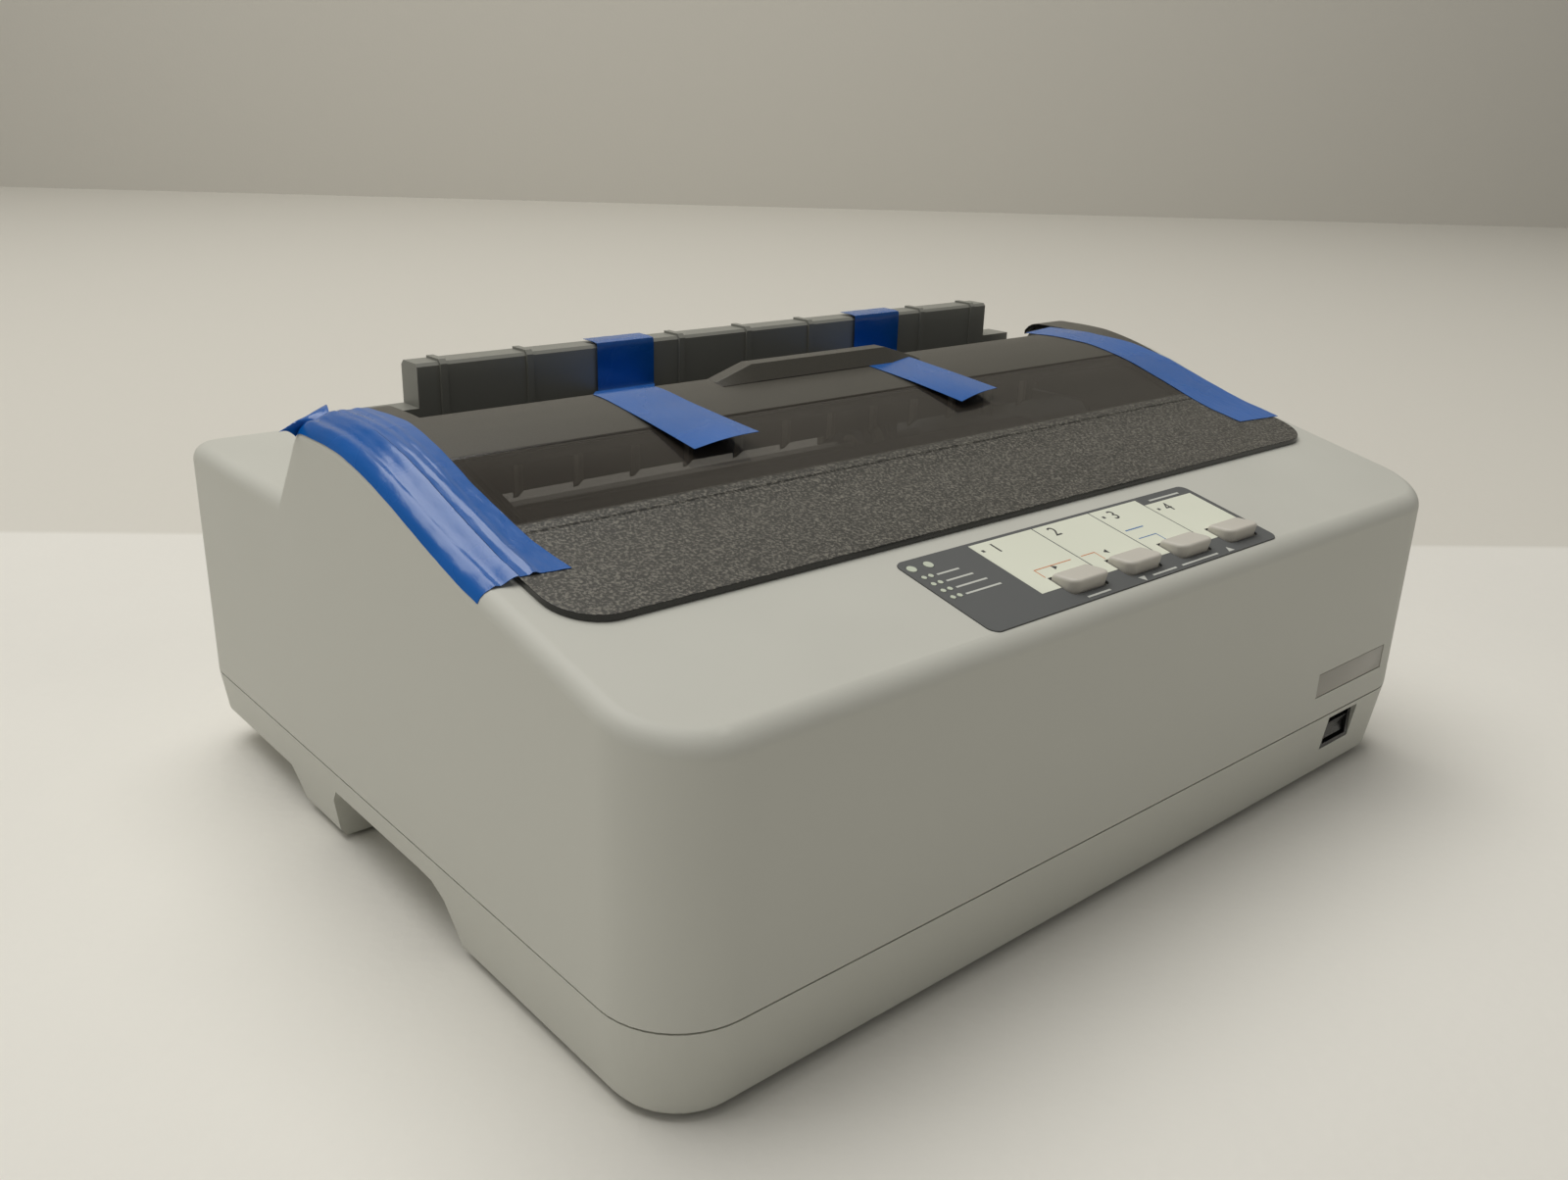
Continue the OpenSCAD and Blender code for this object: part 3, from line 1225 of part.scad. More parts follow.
placed() lower_case();
placed() upper_case();
placed() printer_cover();
placed() exit_bar();
placed() sheet_guide();
placed() edge_guide(-1);  // edge_guide_left
placed() edge_guide(1);  // edge_guide_right
placed() panel_plate();
placed() push_button(0);  // button_1
placed() push_button(1);  // button_2
placed() push_button(2);  // button_3
placed() push_button(3);  // button_4
placed() panel_lamps();
placed() panel_board();
placed() power_switch_frame();
placed() power_rocker();
placed() rubber_feet();
placed() case_screws();
placed() base_frame();
placed() left_side_frame();
placed() right_side_frame();
placed() platen_roller();
placed() platen_shaft();
placed() platen_gear();
placed() platen_knob();
placed() platen_bushes();
placed() feed_motor();
placed() feed_pinion();
placed() feed_idler_gear();
placed() carriage_shaft();
placed() carriage();
placed() print_head();
placed() ribbon_mask();
placed() carriage_belt();
placed() carriage_motor();
placed() belt_pulley(pulley_x);  // drive_pulley
placed() belt_pulley(-pulley_x);  // idler_pulley
placed() ribbon_cartridge();
placed() ribbon_band();
placed() ribbon_knob();
placed() head_gap_lever();
placed() paper_release_lever();
placed() pinch_rollers();
placed() paper_pan();
placed() eject_guide();
placed() tractor_drive_shaft();
placed() tractor_support_shaft();
placed() tractor_gear();
placed() tractor(-1);  // left_tractor
placed() tractor(1);  // right_tractor
placed() pin_wheel(-1);  // left_pin_wheel
placed() pin_wheel(1);  // right_pin_wheel
placed() tractor_flap(-1);  // left_tractor_flap
placed() tractor_flap(1);  // right_tractor_flap
placed() tractor_lock(-1);  // left_tractor_lock
placed() tractor_lock(1);  // right_tractor_lock
placed() main_board();
placed() power_unit();
placed() interface_ports();
placed() power_inlet();
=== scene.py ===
"""Dot matrix printer: finishes, moulded skins, panel print, shipping tape and a plain studio stage."""
import json
import math

import bmesh
import bpy
from mathutils import Matrix, Vector


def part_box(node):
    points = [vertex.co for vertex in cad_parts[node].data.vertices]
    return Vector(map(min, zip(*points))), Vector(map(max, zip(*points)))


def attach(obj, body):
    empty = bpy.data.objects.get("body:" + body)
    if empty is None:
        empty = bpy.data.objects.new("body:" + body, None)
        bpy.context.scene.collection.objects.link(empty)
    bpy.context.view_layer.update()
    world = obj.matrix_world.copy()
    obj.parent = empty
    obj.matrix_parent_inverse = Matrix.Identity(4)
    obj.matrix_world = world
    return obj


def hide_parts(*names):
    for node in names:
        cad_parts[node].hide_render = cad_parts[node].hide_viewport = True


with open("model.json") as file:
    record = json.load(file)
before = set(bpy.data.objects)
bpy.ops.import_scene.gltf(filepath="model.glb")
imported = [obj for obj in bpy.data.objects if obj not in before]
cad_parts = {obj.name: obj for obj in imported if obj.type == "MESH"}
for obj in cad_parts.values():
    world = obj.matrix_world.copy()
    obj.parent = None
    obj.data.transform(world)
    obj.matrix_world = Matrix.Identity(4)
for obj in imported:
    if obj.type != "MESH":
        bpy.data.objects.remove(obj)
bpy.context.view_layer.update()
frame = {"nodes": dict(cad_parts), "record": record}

bl_info = {
    "name": "Dot Matrix Printer",
    "version": (1, 0, 0),
    "blender": (4, 5, 0),
    "location": "View3D > Sidebar > Printer",
    "description": "Dresses the packed printer frame with moulded skins, finishes and a stage",
    "category": "Object",
}

MM = 0.001

# The case is drawn around its own middle; the knob moves the middle of the whole width.
CASE_LOW, CASE_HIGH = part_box("upper_case")
CASE_X = (CASE_LOW[0] + CASE_HIGH[0]) / 2 / MM
HALF_W = (CASE_HIGH[0] - CASE_LOW[0]) / 2 / MM
HALF_D = (CASE_HIGH[1] - CASE_LOW[1]) / 2 / MM
SEAM_H = CASE_LOW[2] / MM
HUMP_H = CASE_HIGH[2] / MM

# Sizes below are in millimetres, around the middle of the case.
WALL = 3.0
FRONT_H = 100.4
DECK_SLOPE = math.radians(12.4)
SHOULDER_H = 110.5
FRONT_R, REAR_R, EDGE_R = 23.0, 11.0, 5.0    # rounding of the front, rear and upper edges
BAY_HW = HALF_W - 24
COVER_HW = BAY_HW + 13.3
COVER_Y0, COVER_Y1, COVER_Y2 = -90.0, 13.0, 38.0
COVER_ARM_X = BAY_HW - 3
COVER_LIFT, COVER_T, COVER_R = 0.3, 1.7, 14.0
SKIN = COVER_LIFT + COVER_T        # top of the cover above the case's own top
GRIP_HW, GRIP_RUN, GRIP_H = 31.0, 15.0, 4.4
HOOK_IN, HOOK_OUT = 5.5, 8.0
RIB_T, RIB_DROP, RIB_ROOT, CROSS_RIBS_Y = 1.5, 3.2, 0.8, (-58, -14)
BAR_Y, BAR_TOP = 47.0, HUMP_H + 9.7
SEAM_GAP, SEAM_DEPTH = 0.6, 1.2    # groove between the two case halves
BELT_T = 1.3 * MM                    # thickness of the carriage belt, in metres
BUTTONS = ("button_1", "button_2", "button_3", "button_4")
BUTTON_U, BUTTON_W, BUTTON_L = 13.3, 15.6, 9.0
KEY_H, KEY_FALL, KEY_EDGE_R, KEY_FRONT_R, KEY_REAR_R = 4.4, 0.26, 1.15, 3.0, 1.5
BRIDGE_W, RAIL_TAPE_LIFT = 5.5, 0.34           # where the left tape drops from the cover to the rail
INK_LOW, INK_HIGH, MARK_T = 0.3, 0.36, 0.03    # print on the panel, above the deck
FIELD_X, FIELD_FRONT, FIELD_REAR = (-38.7, -10.7, 16.3, 40.6, 66.0), 12.9, 40.7
COLOR_LINES = {
    "blue": ((18.5, 27.2, 22.6, 22.95), (27.0, 27.35, 18.6, 22.9), (18.5, 27.3, 27.6, 28.1)),
    "orange": ((-9.5, -3.2, 22.6, 22.95), (-3.5, -3.15, 18.6, 22.9), (-30.5, -14.2, 22.6, 22.95),
               (-30.6, -30.25, 18.6, 22.9)),
}

# The camera as solved from the edges of the case, and the stage around it, in metres.
CAMERA_LENS, CAMERA_SENSOR = 30.81, 36.0
CAMERA_POSE = ((0.75569, 0.20412, -0.62231, -0.32083), (-0.65425, 0.27856, -0.70311, -0.33182),
               (0.02983, 0.93848, 0.34405, 0.22587), (0, 0, 0, 1))
FLOOR_REACH, WALL_AWAY, WALL_H = 6.0, 2.6, 4.0
LIGHT_AIM = (0, 0, 0.1)
LIGHTS = (("overhead", (-0.3, 0.7, 3.0), (3.2, 2.4), 78.0, (1.0, 0.98, 0.94)),
          ("side_fill", (-1.7, 0.2, 0.8), (1.2, 0.9), 2.0, (1.0, 0.98, 0.95)),
          ("front_fill", (0.7, -1.7, 1.3), (1.2, 0.9), 1.2, (1.0, 0.98, 0.95)))
WORLD_COLOR, WORLD_STRENGTH = (1.0, 0.985, 0.96, 1), 0.14
WALL_DIRECTION = (0.608, 0.794, 0.0)           # from the camera's side to the wall behind

# Side profile of the top of the case, from the front edge to the rear edge.
DECK_END = (-60.0, FRONT_H + (HALF_D - 60) * math.tan(DECK_SLOPE))
HUMP_DROPS = [(-40, 13.4), (-22, 7.4), (-10, 3.9), (0, 1.7), (10, 0.3), (20, 0), (31, 0.1),
              (34, 0.7), (36.5, 2.1), (38.2, 4), (39.5, 6)]
PROFILE = ([(-HALF_D, FRONT_H), DECK_END] + [(y, HUMP_H - drop) for y, drop in HUMP_DROPS]
           + [(54.5, SHOULDER_H), (HALF_D, SHOULDER_H)])
SMOOTH_FROM, SMOOTH_TO = 1, 12     # the stretch of PROFILE that is a soft curve


def lerp(a, b, share):
    return a + (b - a) * share


def steps_between(a, b, size):
    count = max(1, round((b - a) / size))
    return [lerp(a, b, k / count) for k in range(count + 1)]


def arc(start, end, steps):
    """Angles in radians, at even steps from start to end in degrees."""
    return [math.radians(lerp(start, end, k / steps)) for k in range(steps + 1)]


def slopes():
    """Slope of the profile at each of its points, limited so that the curve never overshoots."""
    steps = [(b[1] - a[1]) / (b[0] - a[0]) for a, b in zip(PROFILE, PROFILE[1:])]
    tangents = [steps[0]]
    for left, right in zip(steps, steps[1:]):
        tangents.append(0.0 if left * right <= 0 else 2 * left * right / (left + right))
    return tangents + [steps[-1]]


TANGENTS = slopes()


def top_z(y):
    """Height of the case's top at depth y, in millimetres."""
    if y <= PROFILE[0][0]:
        return PROFILE[0][1]
    for i, (a, b) in enumerate(zip(PROFILE, PROFILE[1:])):
        if y <= b[0]:
            break
    span = b[0] - a[0]
    t = min(1.0, (y - a[0]) / span)
    if not SMOOTH_FROM <= i < SMOOTH_TO:
        return lerp(a[1], b[1], t)
    t2, t3 = t * t, t * t * t
    return ((2 * t3 - 3 * t2 + 1) * a[1] + (t3 - 2 * t2 + t) * span * TANGENTS[i]
            + (3 * t2 - 2 * t3) * b[1] + (t3 - t2) * span * TANGENTS[i + 1])


def mm(x, y, z):
    """A point of the case, in millimetres around its middle, as a place in the frame."""
    return Vector(((x + CASE_X) * MM, y * MM, z * MM))


def on_deck(x, u, w):
    """A point on the front deck: across, up the slope from the front edge, and out of it."""
    c, s = math.cos(DECK_SLOPE), math.sin(DECK_SLOPE)
    return mm(x, -HALF_D + u * c - w * s, FRONT_H + u * s + w * c)


# ---- Materials ----

def feed(tree, node, values):
    """Sets a node's inputs, by a link where the value is another node's output."""
    for key, value in values.items():
        if isinstance(value, bpy.types.NodeSocket):
            tree.links.new(value, node.inputs[key])
        else:
            node.inputs[key].default_value = value


def new_node(tree, kind, values, **traits):
    node = tree.nodes.new("ShaderNode" + kind)
    for key, value in traits.items():
        setattr(node, key, value)
    feed(tree, node, values)
    return node


def noise(tree, coords, scale, detail=3.0, roughness=0.5):
    values = {"Vector": coords, "Scale": scale, "Detail": detail, "Roughness": roughness}
    return new_node(tree, "TexNoise", values).outputs["Fac"]


def map_range(tree, value, low, high, out_low=0.0, out_high=1.0):
    values = {"Value": value, "From Min": low, "From Max": high, "To Min": out_low, "To Max": out_high}
    return new_node(tree, "MapRange", values).outputs["Result"]


def math_node(tree, operation, a, b):
    return new_node(tree, "Math", {0: a, 1: b}, operation=operation).outputs["Value"]


def mix_colors(tree, factor, dark, light):
    dark, light = (c if isinstance(c, bpy.types.NodeSocket) else (*c, 1.0) for c in (dark, light))
    return new_node(tree, "Mix", {"Factor": factor, 6: dark, 7: light}, data_type="RGBA").outputs[2]


def bump(tree, height, strength, distance):
    values = {"Height": height, "Strength": strength, "Distance": distance}
    return new_node(tree, "Bump", values).outputs["Normal"]


def depth_of(tree, coords):
    return new_node(tree, "SeparateXYZ", {"Vector": coords}).outputs["Y"]


def stretched(tree, coords, scale):
    return new_node(tree, "Mapping", {"Vector": coords, "Scale": scale}).outputs["Vector"]


def linear(color):
    """A colour written as 0 to 255 screen values, in Blender's linear values."""
    return tuple((c / 255 / 12.92) if c / 255 <= 0.04045 else ((c / 255 + 0.055) / 1.055) ** 2.4
                 for c in color)


def shade(color, factor):
    return tuple(c * factor for c in color)


def moulded(tree, shader, coords, color, roughness=0.45, grain=2600.0, depth=0.00004, mottle=0.05,
            specular=0.5, metallic=0.0):
    """Moulded or cast surface: fine spark-eroded grain, faint mottling and uneven gloss."""
    base = linear(color)
    cloud = noise(tree, coords, 28.0, 4.0)
    feed(tree, shader, {
        "Base Color": mix_colors(tree, cloud, shade(base, 1 - mottle), shade(base, 1 + mottle)),
        "Roughness": map_range(tree, cloud, 0.3, 0.7, roughness - 0.05, roughness + 0.06),
        "Normal": bump(tree, noise(tree, coords, grain, 2.0, 0.6), 0.35, depth),
        "Specular IOR Level": specular, "Metallic": metallic})


def brushed(tree, shader, coords, color, roughness):
    """Drawn or ground metal with fine lines along X and a few dull patches."""
    base = linear(color)
    lines = noise(tree, stretched(tree, coords, (18.0, 900.0, 900.0)), 1.0, 3.0)
    cloud = noise(tree, coords, 40.0, 3.0)
    feed(tree, shader, {
        "Base Color": mix_colors(tree, cloud, shade(base, 0.88), shade(base, 1.05)),
        "Roughness": map_range(tree, lines, 0.3, 0.7, roughness - 0.08, roughness + 0.12),
        "Normal": bump(tree, lines, 0.2, 0.00003), "Metallic": 1.0})


def case_plastic(tree, shader, coords):
    """Case colour of the settings, in a fine matt grain."""
    moulded(tree, shader, coords, screen_values(settings().case_color), 0.5, 3200.0, 0.00005, 0.03, 0.35)


def spangled_steel(tree, shader, coords):
    """Galvanised sheet with its crystal spangle."""
    cells = new_node(tree, "TexVoronoi", {"Vector": coords, "Scale": 160.0}).outputs["Color"]
    tone = map_range(tree, cells, 0.0, 1.0)
    feed(tree, shader, {
        "Base Color": mix_colors(tree, tone, (0.42, 0.44, 0.46), (0.6, 0.62, 0.64)),
        "Roughness": map_range(tree, tone, 0.0, 1.0, 0.32, 0.5),
        "Normal": bump(tree, tone, 0.15, 0.00003), "Metallic": 0.9})


def board_green(tree, shader, coords):
    """Solder mask over copper tracks."""
    tracks = new_node(tree, "TexBrick", {
        "Vector": coords, "Scale": 170.0, "Mortar Size": 0.03, "Color1": (0.012, 0.1, 0.045, 1),
        "Color2": (0.016, 0.13, 0.055, 1), "Mortar": (0.05, 0.22, 0.09, 1)})
    feed(tree, shader, {
        "Base Color": tracks.outputs["Color"],
        "Roughness": map_range(tree, noise(tree, coords, 700.0), 0.3, 0.7, 0.25, 0.4),
        "Normal": bump(tree, tracks.outputs["Fac"], 0.3, 0.00004)})


def ribbon_fabric(tree, shader, coords):
    """Woven inked nylon."""
    values = {"Vector": coords, "Scale": 420.0, "Distortion": 0.4}
    weave = new_node(tree, "TexWave", values, wave_type="BANDS", bands_direction="Z").outputs["Fac"]
    feed(tree, shader, {
        "Base Color": mix_colors(tree, weave, (0.008, 0.008, 0.012), (0.02, 0.02, 0.03)),
        "Normal": bump(tree, weave, 0.5, 0.00005), "Roughness": 0.8})


def smoked_cover(tree, shader, coords):
    """Smoked cover: grain in front whose pale specks are painted glints, a clear window in the middle, fine
    satin at the rear.
    """
    depth, window_y = depth_of(tree, coords), settings().window_edge * MM
    behind = map_range(tree, depth, window_y - 0.0006, window_y + 0.0006)
    top = map_range(tree, depth, -0.0155, -0.0140)
    window = math_node(tree, "SUBTRACT", behind, top)
    grain = noise(tree, coords, 1150.0, 2.0, 0.6)
    fine = noise(tree, coords, 2600.0, 2.0, 0.6)
    cloud = noise(tree, coords, 22.0, 4.0)
    # Painted glints: pale specks in the front grain's colour stand for light caught by the grain; the grain's
    # relief is a real bump below.
    painted_glint_specks = map_range(tree, grain, 0.46, 0.68)
    grain_and_painted_glints = mix_colors(tree, painted_glint_specks, linear((52, 51, 47)), linear((126, 123, 114)))
    glassy = mix_colors(tree, cloud, linear((52, 48, 43)), linear((64, 59, 53)))
    satin = mix_colors(tree, fine, linear((56, 54, 48)), linear((84, 81, 72)))
    front = mix_colors(tree, behind, grain_and_painted_glints, glassy)
    relief = math_node(tree, "MULTIPLY", grain, map_range(tree, behind, 0.0, 1.0, 0.00012, 0.00001))
    crease = map_range(tree, depth, -0.0512, -0.0502, 0.0, 0.0005)
    ledge = map_range(tree, depth, -0.0158, -0.0146, 0.0, 0.0003)
    relief = math_node(tree, "ADD", relief, math_node(tree, "ADD", crease, ledge))
    feed(tree, shader, {
        "Base Color": mix_colors(tree, top, front, satin),
        "Roughness": map_range(tree, window, 0.0, 1.0, 0.36, 0.14),
        "Alpha": map_range(tree, window, 0.0, 1.0, 0.97, 0.68),
        "Normal": bump(tree, relief, 0.9, 1.0), "Specular IOR Level": 0.6})


def ribbed_guide(tree, shader, coords):
    """Guide painted pale on the ribs' fronts and dark behind them: painted light and shade, for fronts lit
    through the cover against the shade inside.
    """
    # Painted light and shade: the ribs' fronts pale as if lit through the cover, the rest dark as if in
    # shade.
    rib = map_range(tree, depth_of(tree, coords), 0.0254, 0.0258, 1.0, 0.0)
    cloud = noise(tree, coords, 60.0, 3.0)
    pale = mix_colors(tree, cloud, linear((222, 212, 190)), linear((240, 232, 214)))
    feed(tree, shader, {
        "Base Color": mix_colors(tree, rib, linear((44, 42, 38)), pale),
        "Roughness": map_range(tree, cloud, 0.3, 0.7, 0.4, 0.55),
        "Normal": bump(tree, noise(tree, coords, 1800.0), 0.3, 0.00004)})


def tape_film(tree, shader, coords):
    """Glossy blue tape with fine creases, lighter where it is stretched."""
    crease = noise(tree, stretched(tree, coords, (1.0, 0.25, 1.0)), 120.0, 5.0, 0.6)
    cloud = noise(tree, coords, 35.0, 3.0)
    base = linear(screen_values(settings().tape_color))
    feed(tree, shader, {
        "Base Color": mix_colors(tree, cloud, shade(base, 0.82), shade(base, 1.25)),
        "Roughness": map_range(tree, cloud, 0.3, 0.7, 0.2, 0.34),
        "Normal": bump(tree, crease, 0.6, 0.0006), "Coat Weight": 0.3, "Coat Roughness": 0.12})


def studio_board(tree, shader, coords):
    """Pale foam board: faint beads in tone and relief, a shade darker beyond the line behind the printer."""
    beads = new_node(tree, "TexVoronoi", {"Vector": coords, "Scale": 260.0}).outputs["Distance"]
    along = new_node(tree, "VectorMath", {0: coords, 1: WALL_DIRECTION}, operation="DOT_PRODUCT")
    beyond = map_range(tree, along.outputs["Value"], 0.233, 0.239)
    near, far = linear((236, 234, 227)), linear((220, 217, 208))
    tone = mix_colors(tree, noise(tree, coords, 9.0, 3.0), shade(near, 0.97), shade(near, 1.02))
    feed(tree, shader, {
        "Base Color": mix_colors(tree, beyond, tone, far),
        "Normal": bump(tree, beads, 0.15, 0.0006), "Roughness": 0.7})


RUBBER = (0.75, 1800.0, 0.00008, 0.12, 0.25)

# Colour, then roughness, grain, depth of grain, mottle, specular and metallic as moulded() takes them.
MOULDED = {
    "charcoal_plastic": ((84, 84, 80), 0.42, 2400.0, 0.00005, 0.08, 0.5),
    # The exit bar is charcoal; this lighter colour is painted light, standing in for the light its front
    # misses in the cover's shade.
    "bar_painted_fill_light": ((138, 138, 130), 0.42),
    "button_plastic": ((202, 198, 188), 0.4, 3600.0, 0.00003, 0.04, 0.45),
    "black_plastic": ((26, 26, 27), 0.3, 2000.0, 0.00002, 0.1, 0.5),
    # Near-black painted shade for the cover's steep faces, so that its rim reads as a dark line.
    "cover_steep_painted_shade": ((24, 23, 21), 0.22, 1600.0, 0.00001, 0.1, 0.7),
    "lamp_lens": ((206, 214, 196), 0.25, 1200.0, 0.00002, 0.06, 0.6),
    "panel_film": ((98, 100, 100), 0.55, 2800.0, 0.00002, 0.05, 0.25),
    "print_white": ((232, 235, 218), 0.45, 2600.0, 0.00001, 0.015, 0.3),
    "print_dark": ((62, 62, 64), 0.5, 2600.0, 0.00001, 0.05, 0.3),
    "print_pale": ((205, 207, 200), 0.5, 2600.0, 0.00001, 0.04, 0.3),
    "print_blue": ((70, 120, 178), 0.45, 2600.0, 0.00001, 0.04, 0.4),
    "print_orange": ((214, 140, 92), 0.45, 2600.0, 0.00001, 0.04, 0.4),
    "plate_finish": ((168, 165, 157), 0.34, 2600.0, 0.00002, 0.04, 0.45),
    "foot_rubber": ((52, 52, 54), *RUBBER),
    "platen_rubber": ((34, 34, 36), *RUBBER),
    "belt_rubber": ((30, 30, 30), *RUBBER),
    "acetal": ((226, 222, 204), 0.38, 1800.0, 0.00002, 0.03),
    "knob_plastic": ((58, 58, 56), 0.44, 2400.0, 0.00004, 0.08),
    "motor_can": ((58, 58, 60), 0.4, 900.0, 0.00004, 0.1, 0.5, 0.7),
    "carriage_plastic": ((46, 46, 48), 0.5, 1500.0, 0.00006, 0.1),
    "cast_head": ((92, 92, 96), 0.42, 1200.0, 0.00008, 0.08, 0.5, 0.8),
    "lever_plastic": ((88, 118, 160), 0.4, 2000.0, 0.00003, 0.05),
    "guide_plastic": ((206, 202, 190), 0.42, 2400.0, 0.00003, 0.04),
    "tractor_plastic": ((56, 70, 92), 0.44, 2000.0, 0.00003, 0.06),
}
BRUSHED = {"zinc_steel": ((176, 178, 180), 0.34), "ground_shaft": ((196, 197, 200), 0.2),
           "brass": ((200, 160, 88), 0.28)}
OTHERS = {"case_plastic": case_plastic, "smoked_plastic": smoked_cover, "solder_mask": board_green,
          "galvanised_sheet": spangled_steel, "inked_nylon": ribbon_fabric, "ribbed_guide": ribbed_guide,
          "blue_tape": tape_film, "studio_board": studio_board}

# Slots whose finish goes by another name, and nodes whose finish differs from the rest of their slot.
SLOT_FINISH = {"green_board": "solder_mask", "screw_steel": "zinc_steel", "sheet_steel": "galvanised_sheet",
               "shaft_steel": "ground_shaft", "gear_plastic": "acetal", "motor_metal": "motor_can",
               "brass_pinion": "brass", "head_metal": "cast_head", "ribbon_fabric": "inked_nylon"}
# Both finishes below carry painted light: the guide's lit rib fronts and the bar's lightened colour.
NODE_FINISH = {"eject_guide": "ribbed_guide", "exit_bar": "bar_painted_fill_light"}


def finish(name):
    """The material of this name, built on first use."""
    full_name = "finish_" + name    # the frame already holds plain materials named after the slots
    material = bpy.data.materials.get(full_name)
    if material:
        return material
    material = bpy.data.materials.new(full_name)
    material.use_nodes = True
    tree = material.node_tree
    coords = new_node(tree, "TexCoord", {}).outputs["Object"]
    shader = tree.nodes["Principled BSDF"]
    if name in MOULDED:
        moulded(tree, shader, coords, *MOULDED[name])
    elif name in BRUSHED:
        brushed(tree, shader, coords, *BRUSHED[name])
    else:
        OTHERS[name](tree, shader, coords)
    return material


def node_finish(node, slot_name):
    return finish(NODE_FINISH.get(node) or SLOT_FINISH.get(slot_name, slot_name))


# ---- Mesh helpers ----

def linked_object(name, data):
    obj = bpy.data.objects.new(name, data)
    bpy.context.scene.collection.objects.link(obj)
    return obj


def add_piece(name, mesh, material, body, sharp=30.0):
    """A finished mesh as a piece that rides on a body."""
    mesh.validate()
    mesh.materials.clear()
    mesh.materials.append(material)
    mesh.polygons.foreach_set("use_smooth", [True] * len(mesh.polygons))
    mesh.set_sharp_from_angle(angle=math.radians(sharp))
    piece = linked_object(name, mesh)
    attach(piece, body)
    return piece


def walls_between(bm, a, b):
    """Faces that join two closed loops with the same number of vertices."""
    for i in range(len(a)):
        j = (i + 1) % len(a)
        bm.faces.new([a[i], a[j], b[j], b[i]])


def box_into(bm, low, high, place=mm):
    """One closed box, from corner low to corner high, in the place function's millimetres."""
    corners = [bm.verts.new(place(x, y, z))
               for z in (low[2], high[2]) for y in (low[1], high[1]) for x in (low[0], high[0])]
    for quad in ((0, 2, 3, 1), (4, 5, 7, 6), (0, 1, 5, 4), (2, 6, 7, 3), (0, 4, 6, 2), (1, 3, 7, 5)):
        bm.faces.new([corners[i] for i in quad])


def prism_into(bm, outline, place_low, place_high):
    """One closed prism: the outline placed twice, with walls between."""
    low = [bm.verts.new(place_low(p)) for p in outline]
    high = [bm.verts.new(place_high(p)) for p in outline]
    bm.faces.new(low[::-1])
    bm.faces.new(high)
    walls_between(bm, low, high)


def x_prism_into(bm, x0, x1, outline):
    """A prism whose outline is drawn in Y and Z and drawn out across X."""
    prism_into(bm, outline, lambda p: mm(x0, p[0], p[1]), lambda p: mm(x1, p[0], p[1]))


def mesh_of(bm, name):
    bmesh.ops.recalc_face_normals(bm, faces=bm.faces)
    mesh = bpy.data.meshes.new(name)
    bm.to_mesh(mesh)
    bm.free()
    return mesh


def baked(obj, name):
    """The object's mesh with its modifiers applied; the object itself is removed."""
    depsgraph = bpy.context.evaluated_depsgraph_get()
    mesh = bpy.data.meshes.new_from_object(obj.evaluated_get(depsgraph))
    mesh.name = name
    bpy.data.objects.remove(obj)
    return mesh


def cut_away(mesh, cutter_meshes, name):
    """The mesh less every cutter, by exact booleans."""
    obj = linked_object(name + "_blank", mesh)
    cutters = []
    for i, cutter_mesh in enumerate(cutter_meshes):
        cutter = linked_object(f"{name}_cutter_{i}", cutter_mesh)
        modifier = obj.modifiers.new(f"cut_{i}", "BOOLEAN")
        modifier.operation = "DIFFERENCE"
        modifier.solver = "EXACT"
        modifier.object = cutter
        cutters.append(cutter)
    result = baked(obj, name)
    for cutter in cutters:
        bpy.data.objects.remove(cutter)
    return result


def bevel_mesh(mesh, width, segments=3, angle=30.0):
    """The mesh with its sharp edges rounded, width in millimetres."""
    obj = linked_object(mesh.name + "_bevel", mesh)
    modifier = obj.modifiers.new("round", "BEVEL")
    modifier.width = width * MM
    modifier.segments = segments
    modifier.limit_method = "ANGLE"
    modifier.angle_limit = math.radians(angle)
    return baked(obj, mesh.name)


def node_copy(node):
    """A merged copy of a CAD node's mesh, with its flat faces joined again."""
    bm = bmesh.new()
    bm.from_mesh(frame["nodes"][node].data)
    bmesh.ops.remove_doubles(bm, verts=bm.verts, dist=0.000002)
    bmesh.ops.dissolve_limit(bm, angle_limit=math.radians(0.6), verts=bm.verts, edges=bm.edges)
    return mesh_of(bm, node + "_softened")


def plan(inset):
    """Outline of the case seen from above, drawn in by inset, in millimetres."""
    right = []
    for radius, x, y, start, steps in ((FRONT_R, HALF_W - FRONT_R, -HALF_D + FRONT_R, -90, 11),
                                       (REAR_R, HALF_W - REAR_R, HALF_D - REAR_R, 0, 6)):
        for a in arc(start, start + 90, steps):
            right.append((x + (radius - inset) * math.cos(a), y + (radius - inset) * math.sin(a)))
    return right + [(-x, y) for x, y in reversed(right)]


def ring_into(bm, outer, inner, low, high):
    """One closed ring between two outlines with the same number of points."""
    loops = [[bm.verts.new(mm(x, y, z)) for x, y in outline]
             for outline, z in ((outer, low), (outer, high), (inner, high), (inner, low))]
    for a, b in zip(loops, loops[1:] + loops[:1]):
        walls_between(bm, a, b)


def soften(node, body, width, segments=2, sharp=40.0, cutters=()):
    """Replaces a CAD node by a copy with rounded edges, in the node's own finish."""
    slot_name = node_slot(node)
    mesh = node_copy(node)
    if cutters:
        mesh = cut_away(mesh, cutters, mesh.name)
    mesh = bevel_mesh(mesh, width, segments, sharp)
    piece = add_piece(node + "_skin", mesh, node_finish(node, slot_name), body)
    even_shading(piece)
    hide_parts(node)


def even_shading(piece):
    piece.modifiers.new("even_shading", "WEIGHTED_NORMAL").keep_sharp = True


